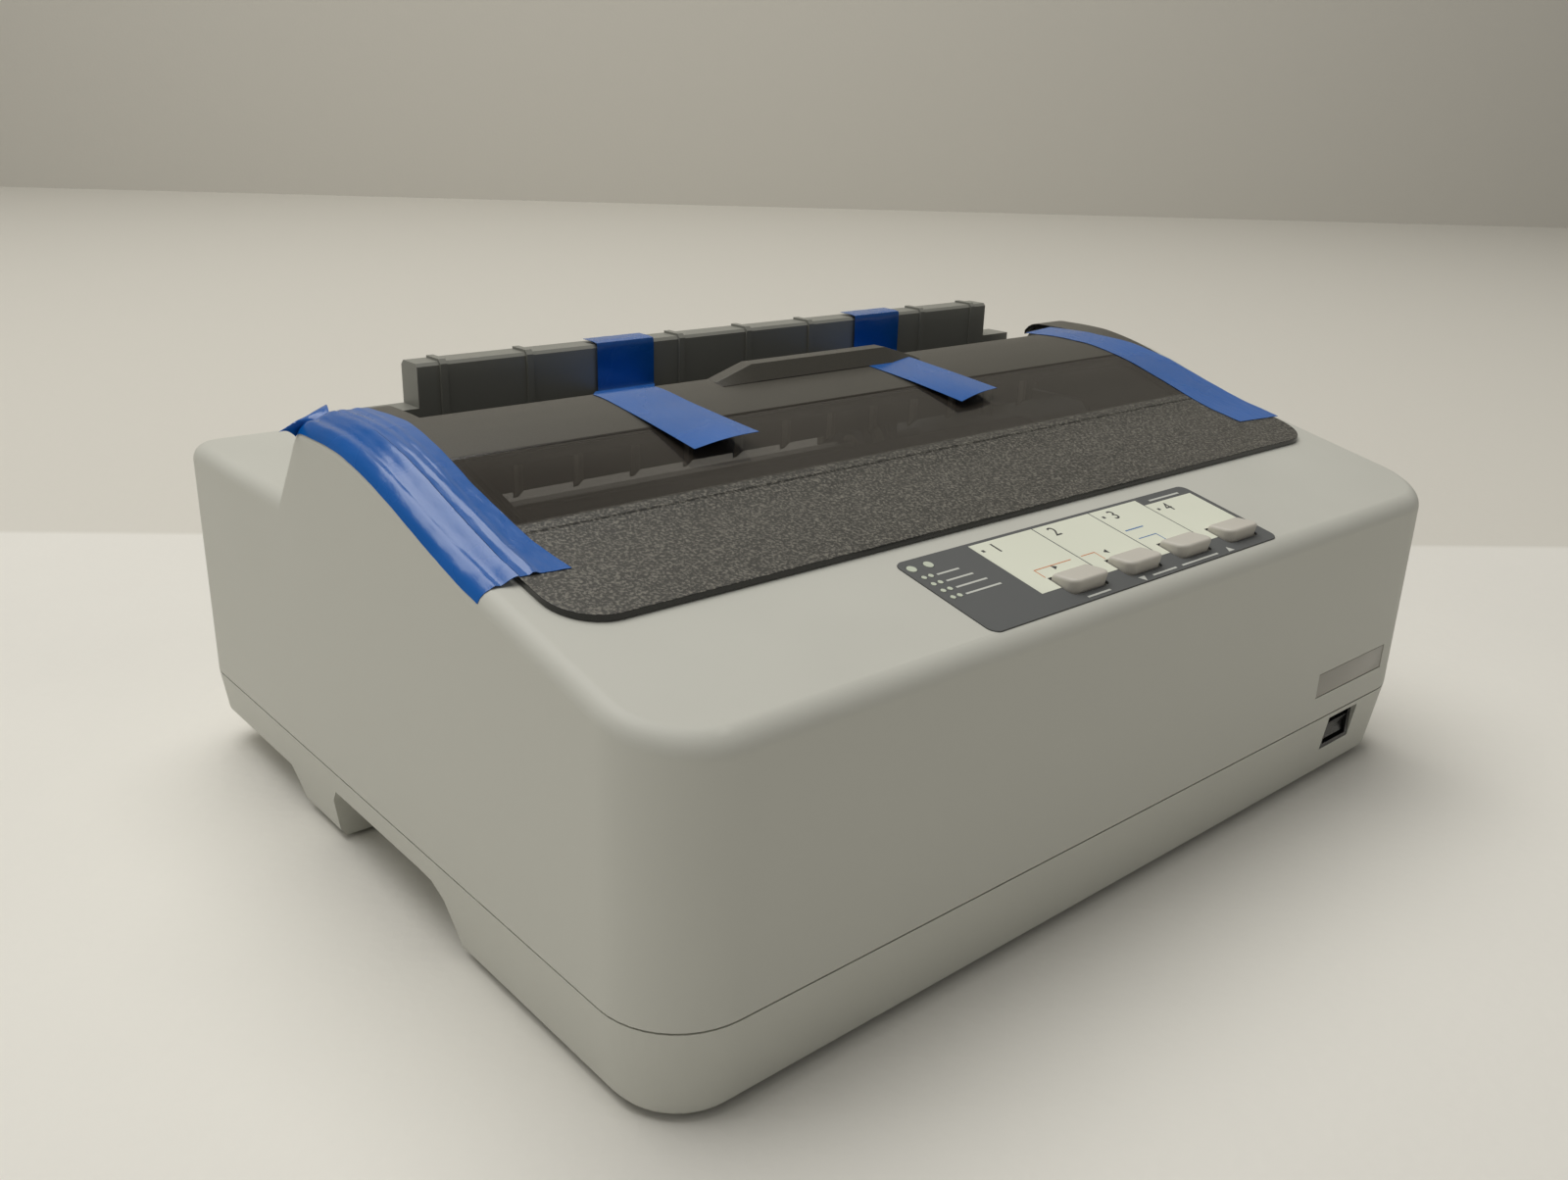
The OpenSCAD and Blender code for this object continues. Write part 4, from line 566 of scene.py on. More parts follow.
def node_slot(node):
    for part in frame["record"]["subparts"]:
        if part["node"] == node:
            return part["material_slot"]
    raise RuntimeError(f"{node} has no material slot")


def node_middle(node):
    """Where the middle of a node lies across the case, in millimetres."""
    low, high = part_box(node)
    return (low.x + high.x) / 2 / MM - CASE_X


def settings():
    return bpy.context.scene.printer_settings


def screen_values(color):
    return tuple(c * 255 for c in color)


# ---- Geometry Nodes: blocks set along a path ----

def along_path_tree():
    """Sets small blocks along a path at even spacing, turned to follow it."""
    tree = bpy.data.node_groups.get("blocks_along_path")
    if tree:
        return tree
    tree = bpy.data.node_groups.new("blocks_along_path", "GeometryNodeTree")
    tree.is_modifier = True
    face = tree.interface
    face.new_socket("Path", in_out="INPUT", socket_type="NodeSocketGeometry")
    for name, value in (("Spacing", 0.002), ("Length", 0.001), ("Width", 0.006), ("Height", 0.001)):
        socket = face.new_socket(name, in_out="INPUT", socket_type="NodeSocketFloat")
        socket.default_value = value
        socket.subtype = "DISTANCE"
    face.new_socket("Finish", in_out="INPUT", socket_type="NodeSocketMaterial")
    face.new_socket("Blocks", in_out="OUTPUT", socket_type="NodeSocketGeometry")
    new = tree.nodes.new
    given, out = new("NodeGroupInput"), new("NodeGroupOutput")
    to_curve, resample = new("GeometryNodeMeshToCurve"), new("GeometryNodeResampleCurve")
    resample.mode = "LENGTH"
    size, cube = new("ShaderNodeCombineXYZ"), new("GeometryNodeMeshCube")
    tangent, normal = new("GeometryNodeInputTangent"), new("GeometryNodeInputNormal")
    align, align_up = new("FunctionNodeAlignRotationToVector"), new("FunctionNodeAlignRotationToVector")
    align.axis, align_up.axis, align_up.pivot_axis = "X", "Z", "X"
    instance, realize = new("GeometryNodeInstanceOnPoints"), new("GeometryNodeRealizeInstances")
    paint = new("GeometryNodeSetMaterial")
    for source, output, target, socket in (
            (given, "Path", to_curve, "Mesh"), (to_curve, "Curve", resample, "Curve"),
            (given, "Spacing", resample, "Length"), (given, "Length", size, "X"), (given, "Width", size, "Y"),
            (given, "Height", size, "Z"), (size, "Vector", cube, "Size"),
            (tangent, "Tangent", align, "Vector"), (align, "Rotation", align_up, "Rotation"),
            (normal, "Normal", align_up, "Vector"),
            (resample, "Curve", instance, "Points"), (cube, "Mesh", instance, "Instance"),
            (align_up, "Rotation", instance, "Rotation"), (instance, "Instances", realize, "Geometry"),
            (realize, "Geometry", paint, "Geometry"), (given, "Finish", paint, "Material"),
            (paint, "Geometry", out, "Blocks")):
        tree.links.new(source.outputs[output], target.inputs[socket])
    return tree


def blocks_along(name, points, spacing, block, material):
    """A plain mesh of blocks of size block, set along the closed line through points."""
    mesh = bpy.data.meshes.new(name + "_path")
    count = len(points)
    mesh.from_pydata([tuple(p) for p in points], [(i, (i + 1) % count) for i in range(count)], [])
    obj = linked_object(name, mesh)
    modifier = obj.modifiers.new("blocks", "NODES")
    modifier.node_group = along_path_tree()
    values = {"Spacing": spacing * MM, "Length": block[0] * MM, "Width": block[1] * MM,
              "Height": block[2] * MM, "Finish": material}
    for item in modifier.node_group.interface.items_tree:
        if item.in_out == "INPUT" and item.name in values:
            modifier[item.identifier] = values[item.name]
    return baked(obj, name)


# ---- Cover and buttons ----

def half_width(y):
    """Half of the cover's width at depth y, drawn in at its two front corners."""
    into = COVER_Y0 + COVER_R - y
    if into <= 0:
        return COVER_HW
    return COVER_HW - COVER_R + math.sqrt(max(COVER_R ** 2 - into ** 2, 0.0))


def cover_shell(bm):
    """The smoked sheet: curved from front to rear, with an arm on each side at the rear."""
    corner = [COVER_Y0 + COVER_R * (1 - math.cos(math.radians(a))) for a in range(0, 90, 9)]
    main = corner + steps_between(COVER_Y0 + COVER_R, COVER_Y1, 1.8)
    rows = main + steps_between(COVER_Y1, COVER_Y2, 1.8)[1:]
    layers = []
    for lift in (COVER_LIFT, SKIN):
        layers.append([[bm.verts.new(mm(x, y, top_z(y) + lift))
                        for x in (-half_width(y), -COVER_ARM_X, COVER_ARM_X, half_width(y))] for y in rows])
    low, high = layers
    edges = set()
    for r in range(len(rows) - 1):
        for c in ((0, 1, 2) if r < len(main) - 1 else (0, 2)):
            quad = [(r, c), (r, c + 1), (r + 1, c + 1), (r + 1, c)]
            bm.faces.new([high[i][j] for i, j in quad])
            bm.faces.new([low[i][j] for i, j in reversed(quad)])
            edges.update(zip(quad, quad[1:] + quad[:1]))
    for (i, j), (k, m) in edges:
        if ((k, m), (i, j)) not in edges:
            bm.faces.new([low[i][j], low[k][m], high[k][m], high[i][j]])


def cover_grip(bm):
    """Finger grip: a steep front wall and a flat crest that taper away at both ends."""
    foot = top_z(COVER_Y1) + SKIN
    ends = ((-GRIP_HW - GRIP_RUN, 0.0), (-GRIP_HW, 1.0), (GRIP_HW, 1.0), (GRIP_HW + GRIP_RUN, 0.0))
    sections = []
    for x, share in ends:
        crest = foot - 0.2 + (GRIP_H + 0.2) * share
        outline = ((COVER_Y1 - 9.5, foot - 0.8), (COVER_Y1 - 5.5, crest), (COVER_Y1, crest),
                   (COVER_Y1, foot - 1.2))
        sections.append([bm.verts.new(mm(x, y, z)) for y, z in outline])
    bm.faces.new(sections[0])
    bm.faces.new(sections[-1][::-1])
    for a, b in zip(sections, sections[1:]):
        for i in range(4):
            bm.faces.new([a[i], b[i], b[(i + 1) % 4], a[(i + 1) % 4]])


def rib_outline(depths):
    """Outline of a rib under the cover, through these depths along the cover's curve."""
    return ([(y, top_z(y) - RIB_DROP) for y in depths]
            + [(y, top_z(y) + RIB_ROOT) for y in reversed(depths)])


def cover_underside(bm):
    """Ribs under the cover and the two hooks that reach round the front edge of the bay."""
    for x in (-BAY_HW + 1.5, BAY_HW - 3):
        x_prism_into(bm, x, x + RIB_T, rib_outline(steps_between(COVER_Y0 + 2, COVER_Y1, 4)))
    for y in CROSS_RIBS_Y:
        x_prism_into(bm, -BAY_HW + 2, BAY_HW - 2, rib_outline([y, y + RIB_T]))
    hinge_z = top_z(COVER_Y0) + COVER_LIFT
    outer = [(HOOK_OUT * math.cos(a), HOOK_OUT * math.sin(a)) for a in arc(17.5, -104.5, 14)]
    inner = [(HOOK_IN * math.cos(a), HOOK_IN * math.sin(a)) for a in arc(-111, 25.9, 14)]
    hook = [(COVER_Y0 + y, hinge_z + z) for y, z in outer + inner]
    for x in (30 - BAY_HW, BAY_HW - 30):
        x_prism_into(bm, x - 5, x + 5, hook[::-1])


def build_cover():
    bm = bmesh.new()
    cover_shell(bm)
    cover_grip(bm)
    cover_underside(bm)
    mesh = bevel_mesh(mesh_of(bm, "smoked_cover"), settings().cover_round / MM, 3, 35.0)
    cover = add_piece("smoked_cover", mesh, finish("smoked_plastic"), "cover", 35.0)
    # Steep faces take the near-black second finish: painted shade along the rim, the grip's front wall, the
    # ribs and the hooks.
    mesh.materials.append(finish("cover_steep_painted_shade"))
    for face in mesh.polygons:
        face.material_index = 1 if abs(face.normal.z) < 0.5 else 0
    even_shading(cover)
    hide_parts("printer_cover")


def button_outline(inset):
    """Rounded outline of a button seen square on, drawn in by inset, from its front left corner."""
    hw, hl = BUTTON_W / 2, BUTTON_L / 2
    points = []
    for sx, sy, start, radius in ((-1, -1, 180, KEY_FRONT_R), (1, -1, 270, KEY_FRONT_R),
                                  (1, 1, 0, KEY_REAR_R), (-1, 1, 90, KEY_REAR_R)):
        for a in arc(start, start + 90, 6):
            points.append((sx * (hw - radius) + (radius - inset) * math.cos(a),
                           sy * (hl - radius) + (radius - inset) * math.sin(a)))
    return points


def build_button(node):
    """A wedge-shaped key with softly rounded edges, with its flange and stem under the deck."""
    middle, hw, hl = node_middle(node), BUTTON_W / 2, BUTTON_L / 2
    bm = bmesh.new()
    rings = [[(x, v, -WALL) for x, v in button_outline(0)]]
    for a in arc(0, 90, 5):
        inset, drop = KEY_EDGE_R * (1 - math.cos(a)), KEY_EDGE_R * (1 - math.sin(a))
        rings.append([(x, v, KEY_H - KEY_FALL * (v + hl) - drop) for x, v in button_outline(inset)])
    loops = [[bm.verts.new(on_deck(middle + x, BUTTON_U + v, w)) for x, v, w in ring] for ring in rings]
    bm.faces.new(loops[0][::-1])
    bm.faces.new(loops[-1])
    for a, b in zip(loops, loops[1:]):
        walls_between(bm, a, b)
    for half_x, half_u, low, high in ((hw + 1, hl + 1, 1.5, 0.3), (1.6, 1.6, 3, 1.4)):
        deck_slab(bm, middle - half_x, middle + half_x, BUTTON_U - half_u, BUTTON_U + half_u,
                  -WALL - low, -WALL - high)
    piece = add_piece(node + "_key", mesh_of(bm, node + "_key"), finish("button_plastic"), node,
                      40.0)
    even_shading(piece)
    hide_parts(node)


# ---- Tape ----

def surface_z(x, y):
    """Height of whatever the tape lies on at x, y: the cover's skin, or the rail with its round edge."""
    ax = abs(x)
    if ax < COVER_HW and COVER_Y0 < y < COVER_Y2:
        return top_z(y) + SKIN
    outside = ax - (HALF_W - EDGE_R)
    if outside > 0:
        return top_z(y) - EDGE_R + math.sqrt(max(EDGE_R ** 2 - min(outside, EDGE_R) ** 2, 0.0))
    return top_z(y)


def strip_mesh(name, rows, thick):
    """Closed thin strip through rows of points; each row runs across the strip, in millimetres."""
    bm = bmesh.new()
    across, last = len(rows[0]), len(rows) - 1
    points = [[Vector(p) for p in row] for row in rows]

    def outward(r, c):
        along = points[min(r + 1, last)][c] - points[max(r - 1, 0)][c]
        over = points[r][min(c + 1, across - 1)] - points[r][max(c - 1, 0)]
        normal = along.cross(over).normalized()
        return normal if normal.dot((0, -0.3, 1)) >= 0 else -normal

    low, high = ([[bm.verts.new(mm(*(points[r][c] + outward(r, c) * side))) for c in range(across)]
                  for r in range(len(rows))] for side in (0.0, thick))
    for grid, order in ((low, -1), (high, 1)):
        for r in range(len(rows) - 1):
            for c in range(across - 1):
                quad = [grid[r][c], grid[r][c + 1], grid[r + 1][c + 1], grid[r + 1][c]]
                bm.faces.new(quad[::order])
    rim = ([(r, 0) for r in range(len(rows))] + [(len(rows) - 1, c) for c in range(1, across)]
           + [(r, across - 1) for r in range(len(rows) - 2, -1, -1)]
           + [(0, c) for c in range(across - 2, 0, -1)])
    for i, (r, c) in enumerate(rim):
        r2, c2 = rim[(i + 1) % len(rim)]
        bm.faces.new([low[r][c], low[r2][c2], high[r2][c2], high[r][c]])
    return mesh_of(bm, name)


def ripple(x, y, size):
    """Height of the film's fine waviness."""
    return abs(size * (math.sin(x * 0.9 + y * 0.23) * math.cos(y * 0.31 - x * 0.37)))


def wrinkle(x, y, lines):
    """Height of long creases; each line is its x at y = 0, its drift along y, and its height."""
    return sum(h * math.exp(-((x - x0 - drift * y) / 0.8) ** 2) for x0, drift, h in lines)


def strip_rows(rows, across, point):
    """Rows of a strip; point takes the share of the way along it and the share across it."""
    return [[point(r / rows, c / across) for c in range(across + 1)] for r in range(rows + 1)]


def laid_rows(inner, outer, across, height):
    """Rows of a strip that lies between two edge lines, given point by point, at height(x, y)."""
    def laid(x, y):
        return x, y, height(x, y)
    return [[laid(lerp(a[0], b[0], c / across), lerp(a[1], b[1], c / across)) for c in range(across + 1)]
            for a, b in zip(inner, outer)]


def resampled(points, rows):
    """Points of a line at even distances along it."""
    lengths = [0.0]
    for a, b in zip(points, points[1:]):
        lengths.append(lengths[-1] + math.dist(a, b))
    out = []
    for r in range(rows + 1):
        want = lengths[-1] * r / rows
        i = max(j for j in range(len(points) - 1) if lengths[j] <= want + 1e-9)
        share = min((want - lengths[i]) / max(lengths[i + 1] - lengths[i], 1e-9), 1.0)
        out.append([lerp(a, b, share) for a, b in zip(points[i], points[i + 1])])
    return out


def add_tape(name, rows, body):
    mesh = strip_mesh(name, rows, settings().tape_thickness / MM)
    add_piece(name, mesh, finish("blue_tape"), body)


def left_tape():
    """Long strip down the left rail, slit where the cover meets the rail."""
    seam_x, rear_y, front_y = -COVER_HW, 37.5, -67.4
    inner = resampled([(-154.5, rear_y), (-152, 10.6), (-153.3, -26.7), (-151.9, -53.1), (-149.6, -68.6)], 70)
    seam = [(seam_x + 0.2, lerp(rear_y, front_y, k / 70)) for k in range(71)]

    def on_cover(x, y):
        creases = ((-157.5, 0.03, 0.30), (-160.6, -0.02, 0.34))
        return surface_z(x, y) + 0.06 + ripple(x, y, 0.1) + wrinkle(x, y, creases)

    def on_rail(t, s):
        x, y = lerp(seam_x - 0.15, 0.3 - HALF_W, s), lerp(rear_y - 1.5, front_y, t)
        bridge = max(0.0, 1 - (seam_x - 0.15 - x) / BRIDGE_W)
        z = surface_z(x, y) + RAIL_TAPE_LIFT + SKIN * bridge * bridge * (3 - 2 * bridge)
        shear = 1.6 * s * (rear_y - y) / (rear_y - front_y)
        creases = ((-167.5, 0.02, 0.22), (-170.4, -0.015, 0.25))
        return x, y + shear, z + ripple(x, y, 0.09) + wrinkle(x, y, creases)

    def rear_end(t, s):
        corner = (lerp(-159.5, -180.0, s), lerp(48, 31.7, s), 136.6 - 1.4 * s)
        x, y, z = (lerp(a, b, t) for a, b in zip(on_rail(0, s), corner))
        return x, y, z + 1.6 * math.sin(math.pi * t) * (1 - 0.4 * s)

    add_tape("tape_left_on_cover", laid_rows(inner, seam, 16, on_cover), "cover")
    end = strip_rows(8, 16, rear_end)[:0:-1]
    add_tape("tape_left_on_rail", end + strip_rows(76, 16, on_rail), "case")


def right_tape():
    """Long strip along the right side of the cover, with its rear end just past the edge."""
    inner = resampled([(121.8, 17), (129.5, 6), (136.2, -4.7), (140.2, -20), (141.5, -37.2), (141, -53.7),
                       (142, -72)], 60)
    outer = resampled([(142, 20.5), (146.5, 12), (151.5, 2.5), (159, -8.4), (163.6, -24), (164.6, -45),
                       (165.6, -74)], 60)

    def height(x, y):
        if y > COVER_Y1:
            return top_z(COVER_Y1) + SKIN + 0.1 + 0.05 * (y - COVER_Y1)
        return top_z(y) + SKIN + 0.08 + ripple(x, y, 0.07)

    add_tape("tape_right", laid_rows(inner, outer, 10, height), "cover")


def short_tape(name, bar_x, crown_x, tip, tip_lift):
    """Short strip from the top of the bar, down its face, across the gap and onto the cover.

    bar_x and crown_x are the strip's two edges on the bar and at the cover's rear edge; tip holds the two
    corners of its free end, and tip_lift how far each stands off the cover.
    """
    face, top, foot_z, columns = BAR_Y - 1.0, BAR_TOP + 0.9, 131.0, 8
    crown_y = COVER_Y1 - 1.0
    crown_z = surface_z(0, crown_y) + 0.1
    bar_line = resampled([(BAR_Y + 7.5, top), (BAR_Y + 2, top), (face + 0.2, top - 0.3), (face, top - 1.4),
                          (face, foot_z + 0.8), (face - 0.5, foot_z)], 30)

    def on_bar(t, s):
        y, z = bar_line[round(t * 30)]
        return lerp(*bar_x, s), y, z + ripple(s * 16.0, z, 0.08)

    def span(share, shift=0.0):
        """One row in the gap between bar and cover, at this share of the way."""
        y = lerp(face - 0.5, crown_y, share) + shift
        z = lerp(foot_z, crown_z, share) + 0.6 * math.sin(math.pi * share)
        return [(lerp(lerp(*bar_x, c / columns), lerp(*crown_x, c / columns), share), y, z)
                for c in range(columns + 1)]

    def on_cover(t, s):
        tip_x, tip_y = (lerp(a, b, s) for a, b in zip(*tip))
        x, y = lerp(lerp(*crown_x, s), tip_x, t), lerp(crown_y, tip_y, t)
        rise = max(0.0, (t - 0.3) / 0.7)
        lift = 0.1 + lerp(*tip_lift, s) * rise ** 1.5
        return x, y, surface_z(x, y) + lift + settings().tape_curl / MM * math.sin(math.pi * s) * rise

    rows = strip_rows(30, columns, on_bar) + [span(k / 12) for k in range(1, 6)] + [span(0.5, 0.12)]
    add_tape(name + "_on_bar", rows, "case")
    rows = [span(0.5, -0.12)] + [span(k / 12) for k in range(7, 13)] + strip_rows(30, columns, on_cover)[1:]
    add_tape(name + "_on_cover", rows, "cover")


# ---- Panel print ----

def deck_slab(bm, x0, x1, u0, u1, low, high):
    box_into(bm, (x0, u0, low), (x1, u1, high), on_deck)


def deck_mark(bm, outline, low, high):
    prism_into(bm, outline, lambda p: on_deck(*p, low), lambda p: on_deck(*p, high))


def ink(name, mesh, finish_name):
    add_piece(name, mesh, finish(finish_name), "case")


def cut_for_buttons(mesh):
    """The ink stops round each button's hole."""
    cutters = []
    for node in BUTTONS:
        bm = bmesh.new()
        deck_slab(bm, node_middle(node) - 8.2, node_middle(node) + 8.2, 8.4, 18.2, -1, 2)
        cutters.append(mesh_of(bm, node + "_cut"))
    return cut_away(mesh, cutters, mesh.name)


def panel_marks():
    """White key field and small generic marks, as thin layers of ink on the panel."""
    bm = bmesh.new()
    for x0, x1 in zip(FIELD_X, FIELD_X[1:]):
        rear = FIELD_REAR - (3.6 if x0 == FIELD_X[3] else 0)
        deck_slab(bm, x0 + 0.25, x1 - 0.25, FIELD_FRONT, rear, INK_LOW, INK_HIGH)
    ink("key_field_ink", cut_for_buttons(mesh_of(bm, "key_field_ink")), "print_white")
    bm = bmesh.new()
    for x, u in ((-36.2, 36.8), (19.2, 36.8), (43.4, 33.4)):
        deck_slab(bm, x - 0.55, x + 0.55, u - 0.55, u + 0.55, INK_HIGH, INK_HIGH + MARK_T)
    for x, turn in ((-23.5, 1), (1.5, -1)):
        outline = [(x, 20.6), (x + 1.8 * turn, 21.7), (x, 22.8)]
        deck_mark(bm, outline[::turn], INK_HIGH, INK_HIGH + MARK_T)
    ink("key_field_marks", mesh_of(bm, "key_field_marks"), "print_dark")
    bm = bmesh.new()
    for x, turn in ((-1.5, -1), (42.5, 1)):
        outline = [(x - 1.5, 6.2 - 0.9 * turn), (x + 1.5, 6.2 - 0.9 * turn), (x, 6.2 + 1.4 * turn)]
        deck_mark(bm, outline[::turn], INK_LOW, INK_HIGH)
    dashes = [(-59.2, -50.6 + 1.8 * row, 32.4 - 3.6 * row, 33.1 - 3.6 * row) for row in range(4)]
    dashes += [(45.5, 61.5, 38.4, 39.2), (3, 14.5, 5.8, 6.5), (17.5, 36, 5.8, 6.5), (-27, -17, 5.8, 6.5)]
    for dash in dashes:
        deck_slab(bm, *dash, INK_LOW, INK_HIGH)
    ink("panel_pale_marks", mesh_of(bm, "panel_pale_marks"), "print_pale")
    for color, bars in COLOR_LINES.items():
        bm = bmesh.new()
        for bar in bars:
            deck_slab(bm, *bar, INK_HIGH, INK_HIGH + MARK_T)
        ink(f"panel_{color}_lines", mesh_of(bm, f"panel_{color}_lines"), "print_" + color)


def numerals():
    """Plain numerals 1 to 4, one in each column of the key field."""
    slope = Matrix.Rotation(DECK_SLOPE, 4, "X")
    for i, (x, u) in enumerate(((-32.5, 34.6), (-6.5, 34.6), (22.4, 34.6), (46.6, 31.2)), 1):
        curve = bpy.data.curves.new(f"numeral_{i}", "FONT")
        curve.body = str(i)
        curve.size = 6.6 * MM
        curve.extrude = 0.02 * MM
        mesh = baked(linked_object(f"numeral_blank_{i}", curve), f"numeral_{i}")
        mesh.transform(Matrix.Translation(on_deck(x, u, INK_HIGH + 0.02)) @ slope)
        ink(f"numeral_{i}", mesh, "print_dark")


# ---- Operators ----

def color_property(name, description, default):
    return bpy.props.FloatVectorProperty(name=name, description=description, subtype="COLOR_GAMMA",
                                         size=3, min=0, max=1, default=default)


def length_property(name, description, default, low, high):
    return bpy.props.FloatProperty(name=name, description=description, subtype="DISTANCE",
                                   default=default, min=low, max=high)


class PrinterSettings(bpy.types.PropertyGroup):
    """Sizes and colours of the printer's dressing."""
    case_color: color_property("Case colour", "Screen colour of the moulded case", (0.80, 0.80, 0.765))
    tape_color: color_property("Tape colour", "Screen colour of the shipping tape", (0.03, 0.36, 0.68))
    tape_thickness: length_property("Tape thickness", "Thickness of the tape", 0.00014, 0.00005, 0.0005)
    tape_curl: length_property("Tape curl", "Bow of the short tapes' free ends between their edges",
                               0.0006, 0.0, 0.0015)
    case_round: length_property("Case edge rounding", "Rounding of the moulded case's sharp edges",
                                0.00035, 0.0001, 0.0006)
    cover_round: length_property("Cover edge rounding", "Rounding of the cover's rim", 0.0006, 0.0001, 0.0008)
    window_edge: bpy.props.FloatProperty(
        name="Window edge", description="Depth at which the cover turns from grained to clear, in mm",
        default=-47.0, min=-60.0, max=-40.0)


class PRINTER_OT_finishes(bpy.types.Operator):
    """Gives every carried-over part of the frame its finish"""
    bl_idname = "printer.finishes"
    bl_label = "Finish the frame's parts"

    def execute(self, context):
        for part in frame["record"]["subparts"]:
            mesh = frame["nodes"][part["node"]].data
            mesh.materials.clear()
            mesh.materials.append(node_finish(part["node"], part["material_slot"]))
        return {"FINISHED"}


class PRINTER_OT_case(bpy.types.Operator):
    """Rounds the moulded edges of both case halves, so that a fine groove shows between them"""
    bl_idname = "printer.case"
    bl_label = "Case halves"

    def execute(self, context):
        soften("upper_case", "case", settings().case_round / MM)
        bm = bmesh.new()
        ring_into(bm, plan(-1.0), plan(SEAM_DEPTH), SEAM_H - SEAM_GAP, SEAM_H + 0.5)
        soften("lower_case", "case", 0.2, 2, 40.0, [mesh_of(bm, "seam_ring")])
        return {"FINISHED"}


class PRINTER_OT_cover(bpy.types.Operator):
    """Makes the smoked cover with its window, grip, ribs and hooks"""
    bl_idname = "printer.cover"
    bl_label = "Smoked cover"

    def execute(self, context):
        build_cover()
        return {"FINISHED"}


class PRINTER_OT_bar(bpy.types.Operator):
    """Rounds the ribbed exit bar and the parts of the rear sheet guide"""
    bl_idname = "printer.bar"
    bl_label = "Exit bar and sheet guide"

    def execute(self, context):
        soften("exit_bar", "case", 0.35)
        soften("sheet_guide", "guide", 0.3)
        soften("edge_guide_left", "edge_guide_left", 0.4)
        soften("edge_guide_right", "edge_guide_right", 0.4)
        return {"FINISHED"}


class PRINTER_OT_buttons(bpy.types.Operator):
    """Makes the four wedge-shaped buttons and rounds the power switch"""
    bl_idname = "printer.buttons"
    bl_label = "Buttons and rocker"

    def execute(self, context):
        for node in BUTTONS:
            build_button(node)
        soften("power_rocker", "rocker", 0.35, 3)
        soften("power_switch_frame", "case", 0.25)
        return {"FINISHED"}


class PRINTER_OT_panel(bpy.types.Operator):
    """Prints the control panel: key field, dividers, numerals and generic marks"""
    bl_idname = "printer.panel"
    bl_label = "Panel print"

    def execute(self, context):
        panel_marks()
        numerals()
        return {"FINISHED"}


class PRINTER_OT_front_plate(bpy.types.Operator):
    """Bare rating plate in its recess at the front"""
    bl_idname = "printer.front_plate"
    bl_label = "Bare front plate"

    def execute(self, context):
        bm = bmesh.new()
        box_into(bm, (HALF_W - 70.2, -HALF_D + 0.12, 37.8), (HALF_W - 24.8, -HALF_D + 0.6, 46.2))
        mesh = bevel_mesh(mesh_of(bm, "front_plate"), 0.1, 2)
        ink("front_plate", mesh, "plate_finish")
        return {"FINISHED"}


class PRINTER_OT_knob_and_belt(bpy.types.Operator):
    """Grip ridges round the platen knob and teeth inside the carriage belt"""
    bl_idname = "printer.knob_and_belt"
    bl_label = "Knob ridges and belt teeth"

    def execute(self, context):
        low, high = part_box("platen_knob")
        middle = (low + high) / 2
        radius = (high.z - low.z) / 2 - 0.35 * MM
        ring = [middle + Vector((1.5 * MM, radius * math.cos(a), radius * math.sin(a)))
                for a in arc(0, 357, 119)]
        ridges = blocks_along("knob_ridges", ring, 3.1, (1.1, 0.6, 7.5), finish("knob_plastic"))
        add_piece("knob_ridges", ridges, finish("knob_plastic"), "platen")
        low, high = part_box("carriage_belt")
        middle = (low + high) / 2
        radius = (high.y - low.y) / 2 - BELT_T
        run = (high.x - low.x) / 2 - BELT_T - radius
        line = [middle + Vector((side * (run + radius * math.sin(a)), -side * radius * math.cos(a), 0))
                for side in (1, -1) for a in arc(0, 180, 16)]
        teeth = blocks_along("belt_teeth", line, 2.03, (1.0, 0.5, 5.6), finish("belt_rubber"))
        add_piece("belt_teeth", teeth, finish("belt_rubber"), "case")
        return {"FINISHED"}


class PRINTER_OT_tape(bpy.types.Operator):
    """Blue shipping tape on both sides of the cover and from the bar to the cover"""
    bl_idname = "printer.tape"
    bl_label = "Shipping tape"

    def execute(self, context):
        left_tape()
        right_tape()
        short_tape("tape_bar_left", (-66.0, -43.0), (-90.0, -67.0), ((-85.8, -33.7), (-61.9, -33.8)),
                   (3.0, 5.0))
        short_tape("tape_bar_right", (53.0, 77.0), (17.5, 42.0), ((29.8, -31.9), (50.8, -29.3)), (2.2, 3.2))
        return {"FINISHED"}


def area_light(name, place, size, watts, color):
    light = bpy.data.lights.new(name, "AREA")
    light.shape = "RECTANGLE"
    light.size, light.size_y = size
    light.energy = watts
    light.color = color
    lamp = linked_object(name, light)
    lamp.location = place
    lamp.rotation_mode = "QUATERNION"
    lamp.rotation_quaternion = (Vector(LIGHT_AIM) - Vector(place)).to_track_quat("-Z", "Y")


def stage_plane(name, corners):
    mesh = bpy.data.meshes.new(name)
    mesh.from_pydata(corners, [], [(0, 1, 2, 3)])
    mesh.materials.append(finish("studio_board"))
    linked_object(name, mesh)


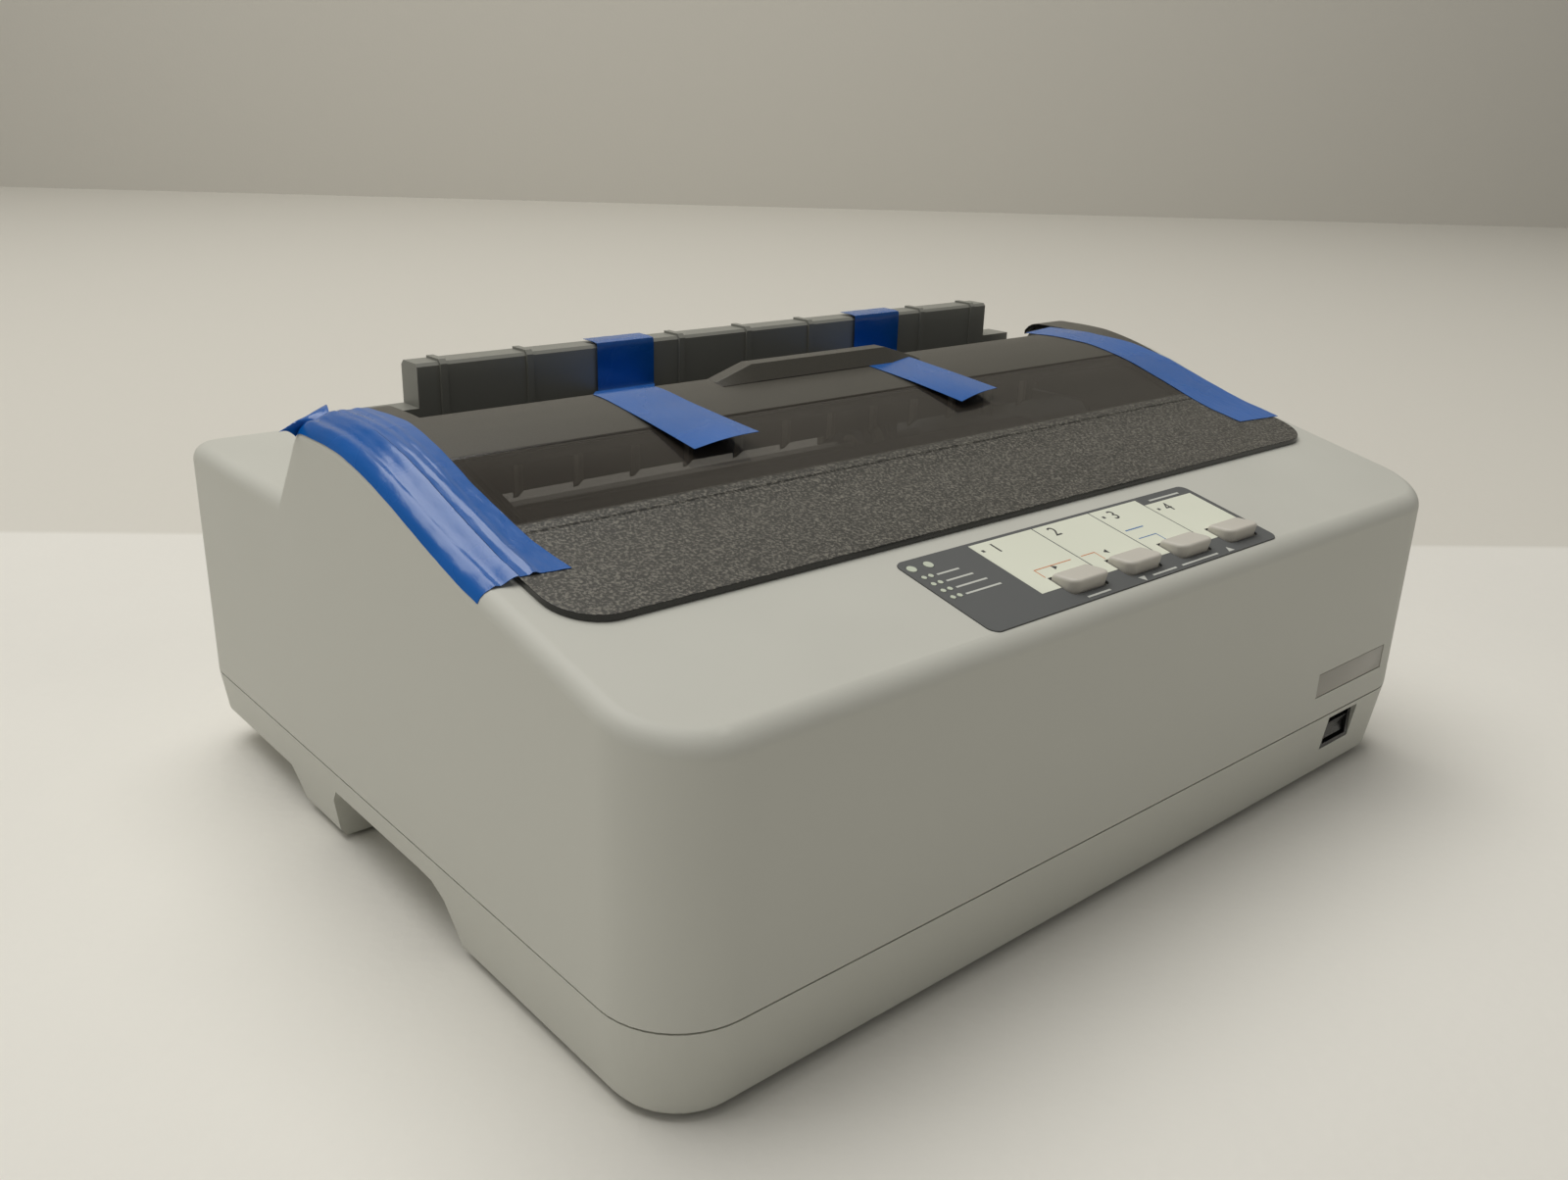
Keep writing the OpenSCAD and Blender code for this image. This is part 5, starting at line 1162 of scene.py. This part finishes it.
class PRINTER_OT_stage(bpy.types.Operator):
    """Pale floor, soft lights and the camera"""
    bl_idname = "printer.stage"
    bl_label = "Stage"

    def execute(self, context):
        scene = context.scene
        camera = linked_object("camera", bpy.data.cameras.new("camera"))
        camera.data.sensor_width = CAMERA_SENSOR
        camera.data.lens = CAMERA_LENS
        camera.matrix_world = Matrix(CAMERA_POSE)
        scene.camera = camera
        r = FLOOR_REACH
        stage_plane("floor", [(-r, -r, 0), (r, -r, 0), (r, r, 0), (-r, r, 0)])
        away, up = Vector(WALL_DIRECTION) * WALL_AWAY, Vector((0, 0, WALL_H))
        side = Vector(WALL_DIRECTION).cross((0, 0, 1)) * r
        stage_plane("wall", [away - side, away + side, away + side + up, away - side + up])
        scene.world = bpy.data.worlds.new("studio")
        scene.world.use_nodes = True
        background = scene.world.node_tree.nodes["Background"]
        background.inputs["Color"].default_value = WORLD_COLOR
        background.inputs["Strength"].default_value = WORLD_STRENGTH
        for light in LIGHTS:
            area_light(*light)
        scene.view_settings.view_transform = "Standard"
        return {"FINISHED"}


OPERATORS = (PRINTER_OT_stage, PRINTER_OT_finishes, PRINTER_OT_case, PRINTER_OT_cover, PRINTER_OT_bar,
             PRINTER_OT_buttons, PRINTER_OT_panel, PRINTER_OT_front_plate, PRINTER_OT_knob_and_belt,
             PRINTER_OT_tape)


class PRINTER_PT_panel(bpy.types.Panel):
    """Lists the printer's settings and steps"""
    bl_idname = "PRINTER_PT_panel"
    bl_label = "Printer"
    bl_space_type = "VIEW_3D"
    bl_region_type = "UI"
    bl_category = "Printer"

    def draw(self, context):
        for name in PrinterSettings.__annotations__:
            self.layout.prop(context.scene.printer_settings, name)
        for operator in OPERATORS:
            self.layout.operator(operator.bl_idname)


CLASSES = (PrinterSettings, *OPERATORS, PRINTER_PT_panel)


def register():
    for cls in CLASSES:
        bpy.utils.register_class(cls)
    bpy.types.Scene.printer_settings = bpy.props.PointerProperty(type=PrinterSettings)


def unregister():
    del bpy.types.Scene.printer_settings
    for cls in reversed(CLASSES):
        bpy.utils.unregister_class(cls)


def main():
    register()
    for operator in OPERATORS:
        group, name = operator.bl_idname.split(".")
        if getattr(getattr(bpy.ops, group), name)() != {"FINISHED"}:
            raise RuntimeError(f"{operator.bl_idname} didn't finish")
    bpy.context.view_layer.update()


if __name__ == "__main__":
    main()
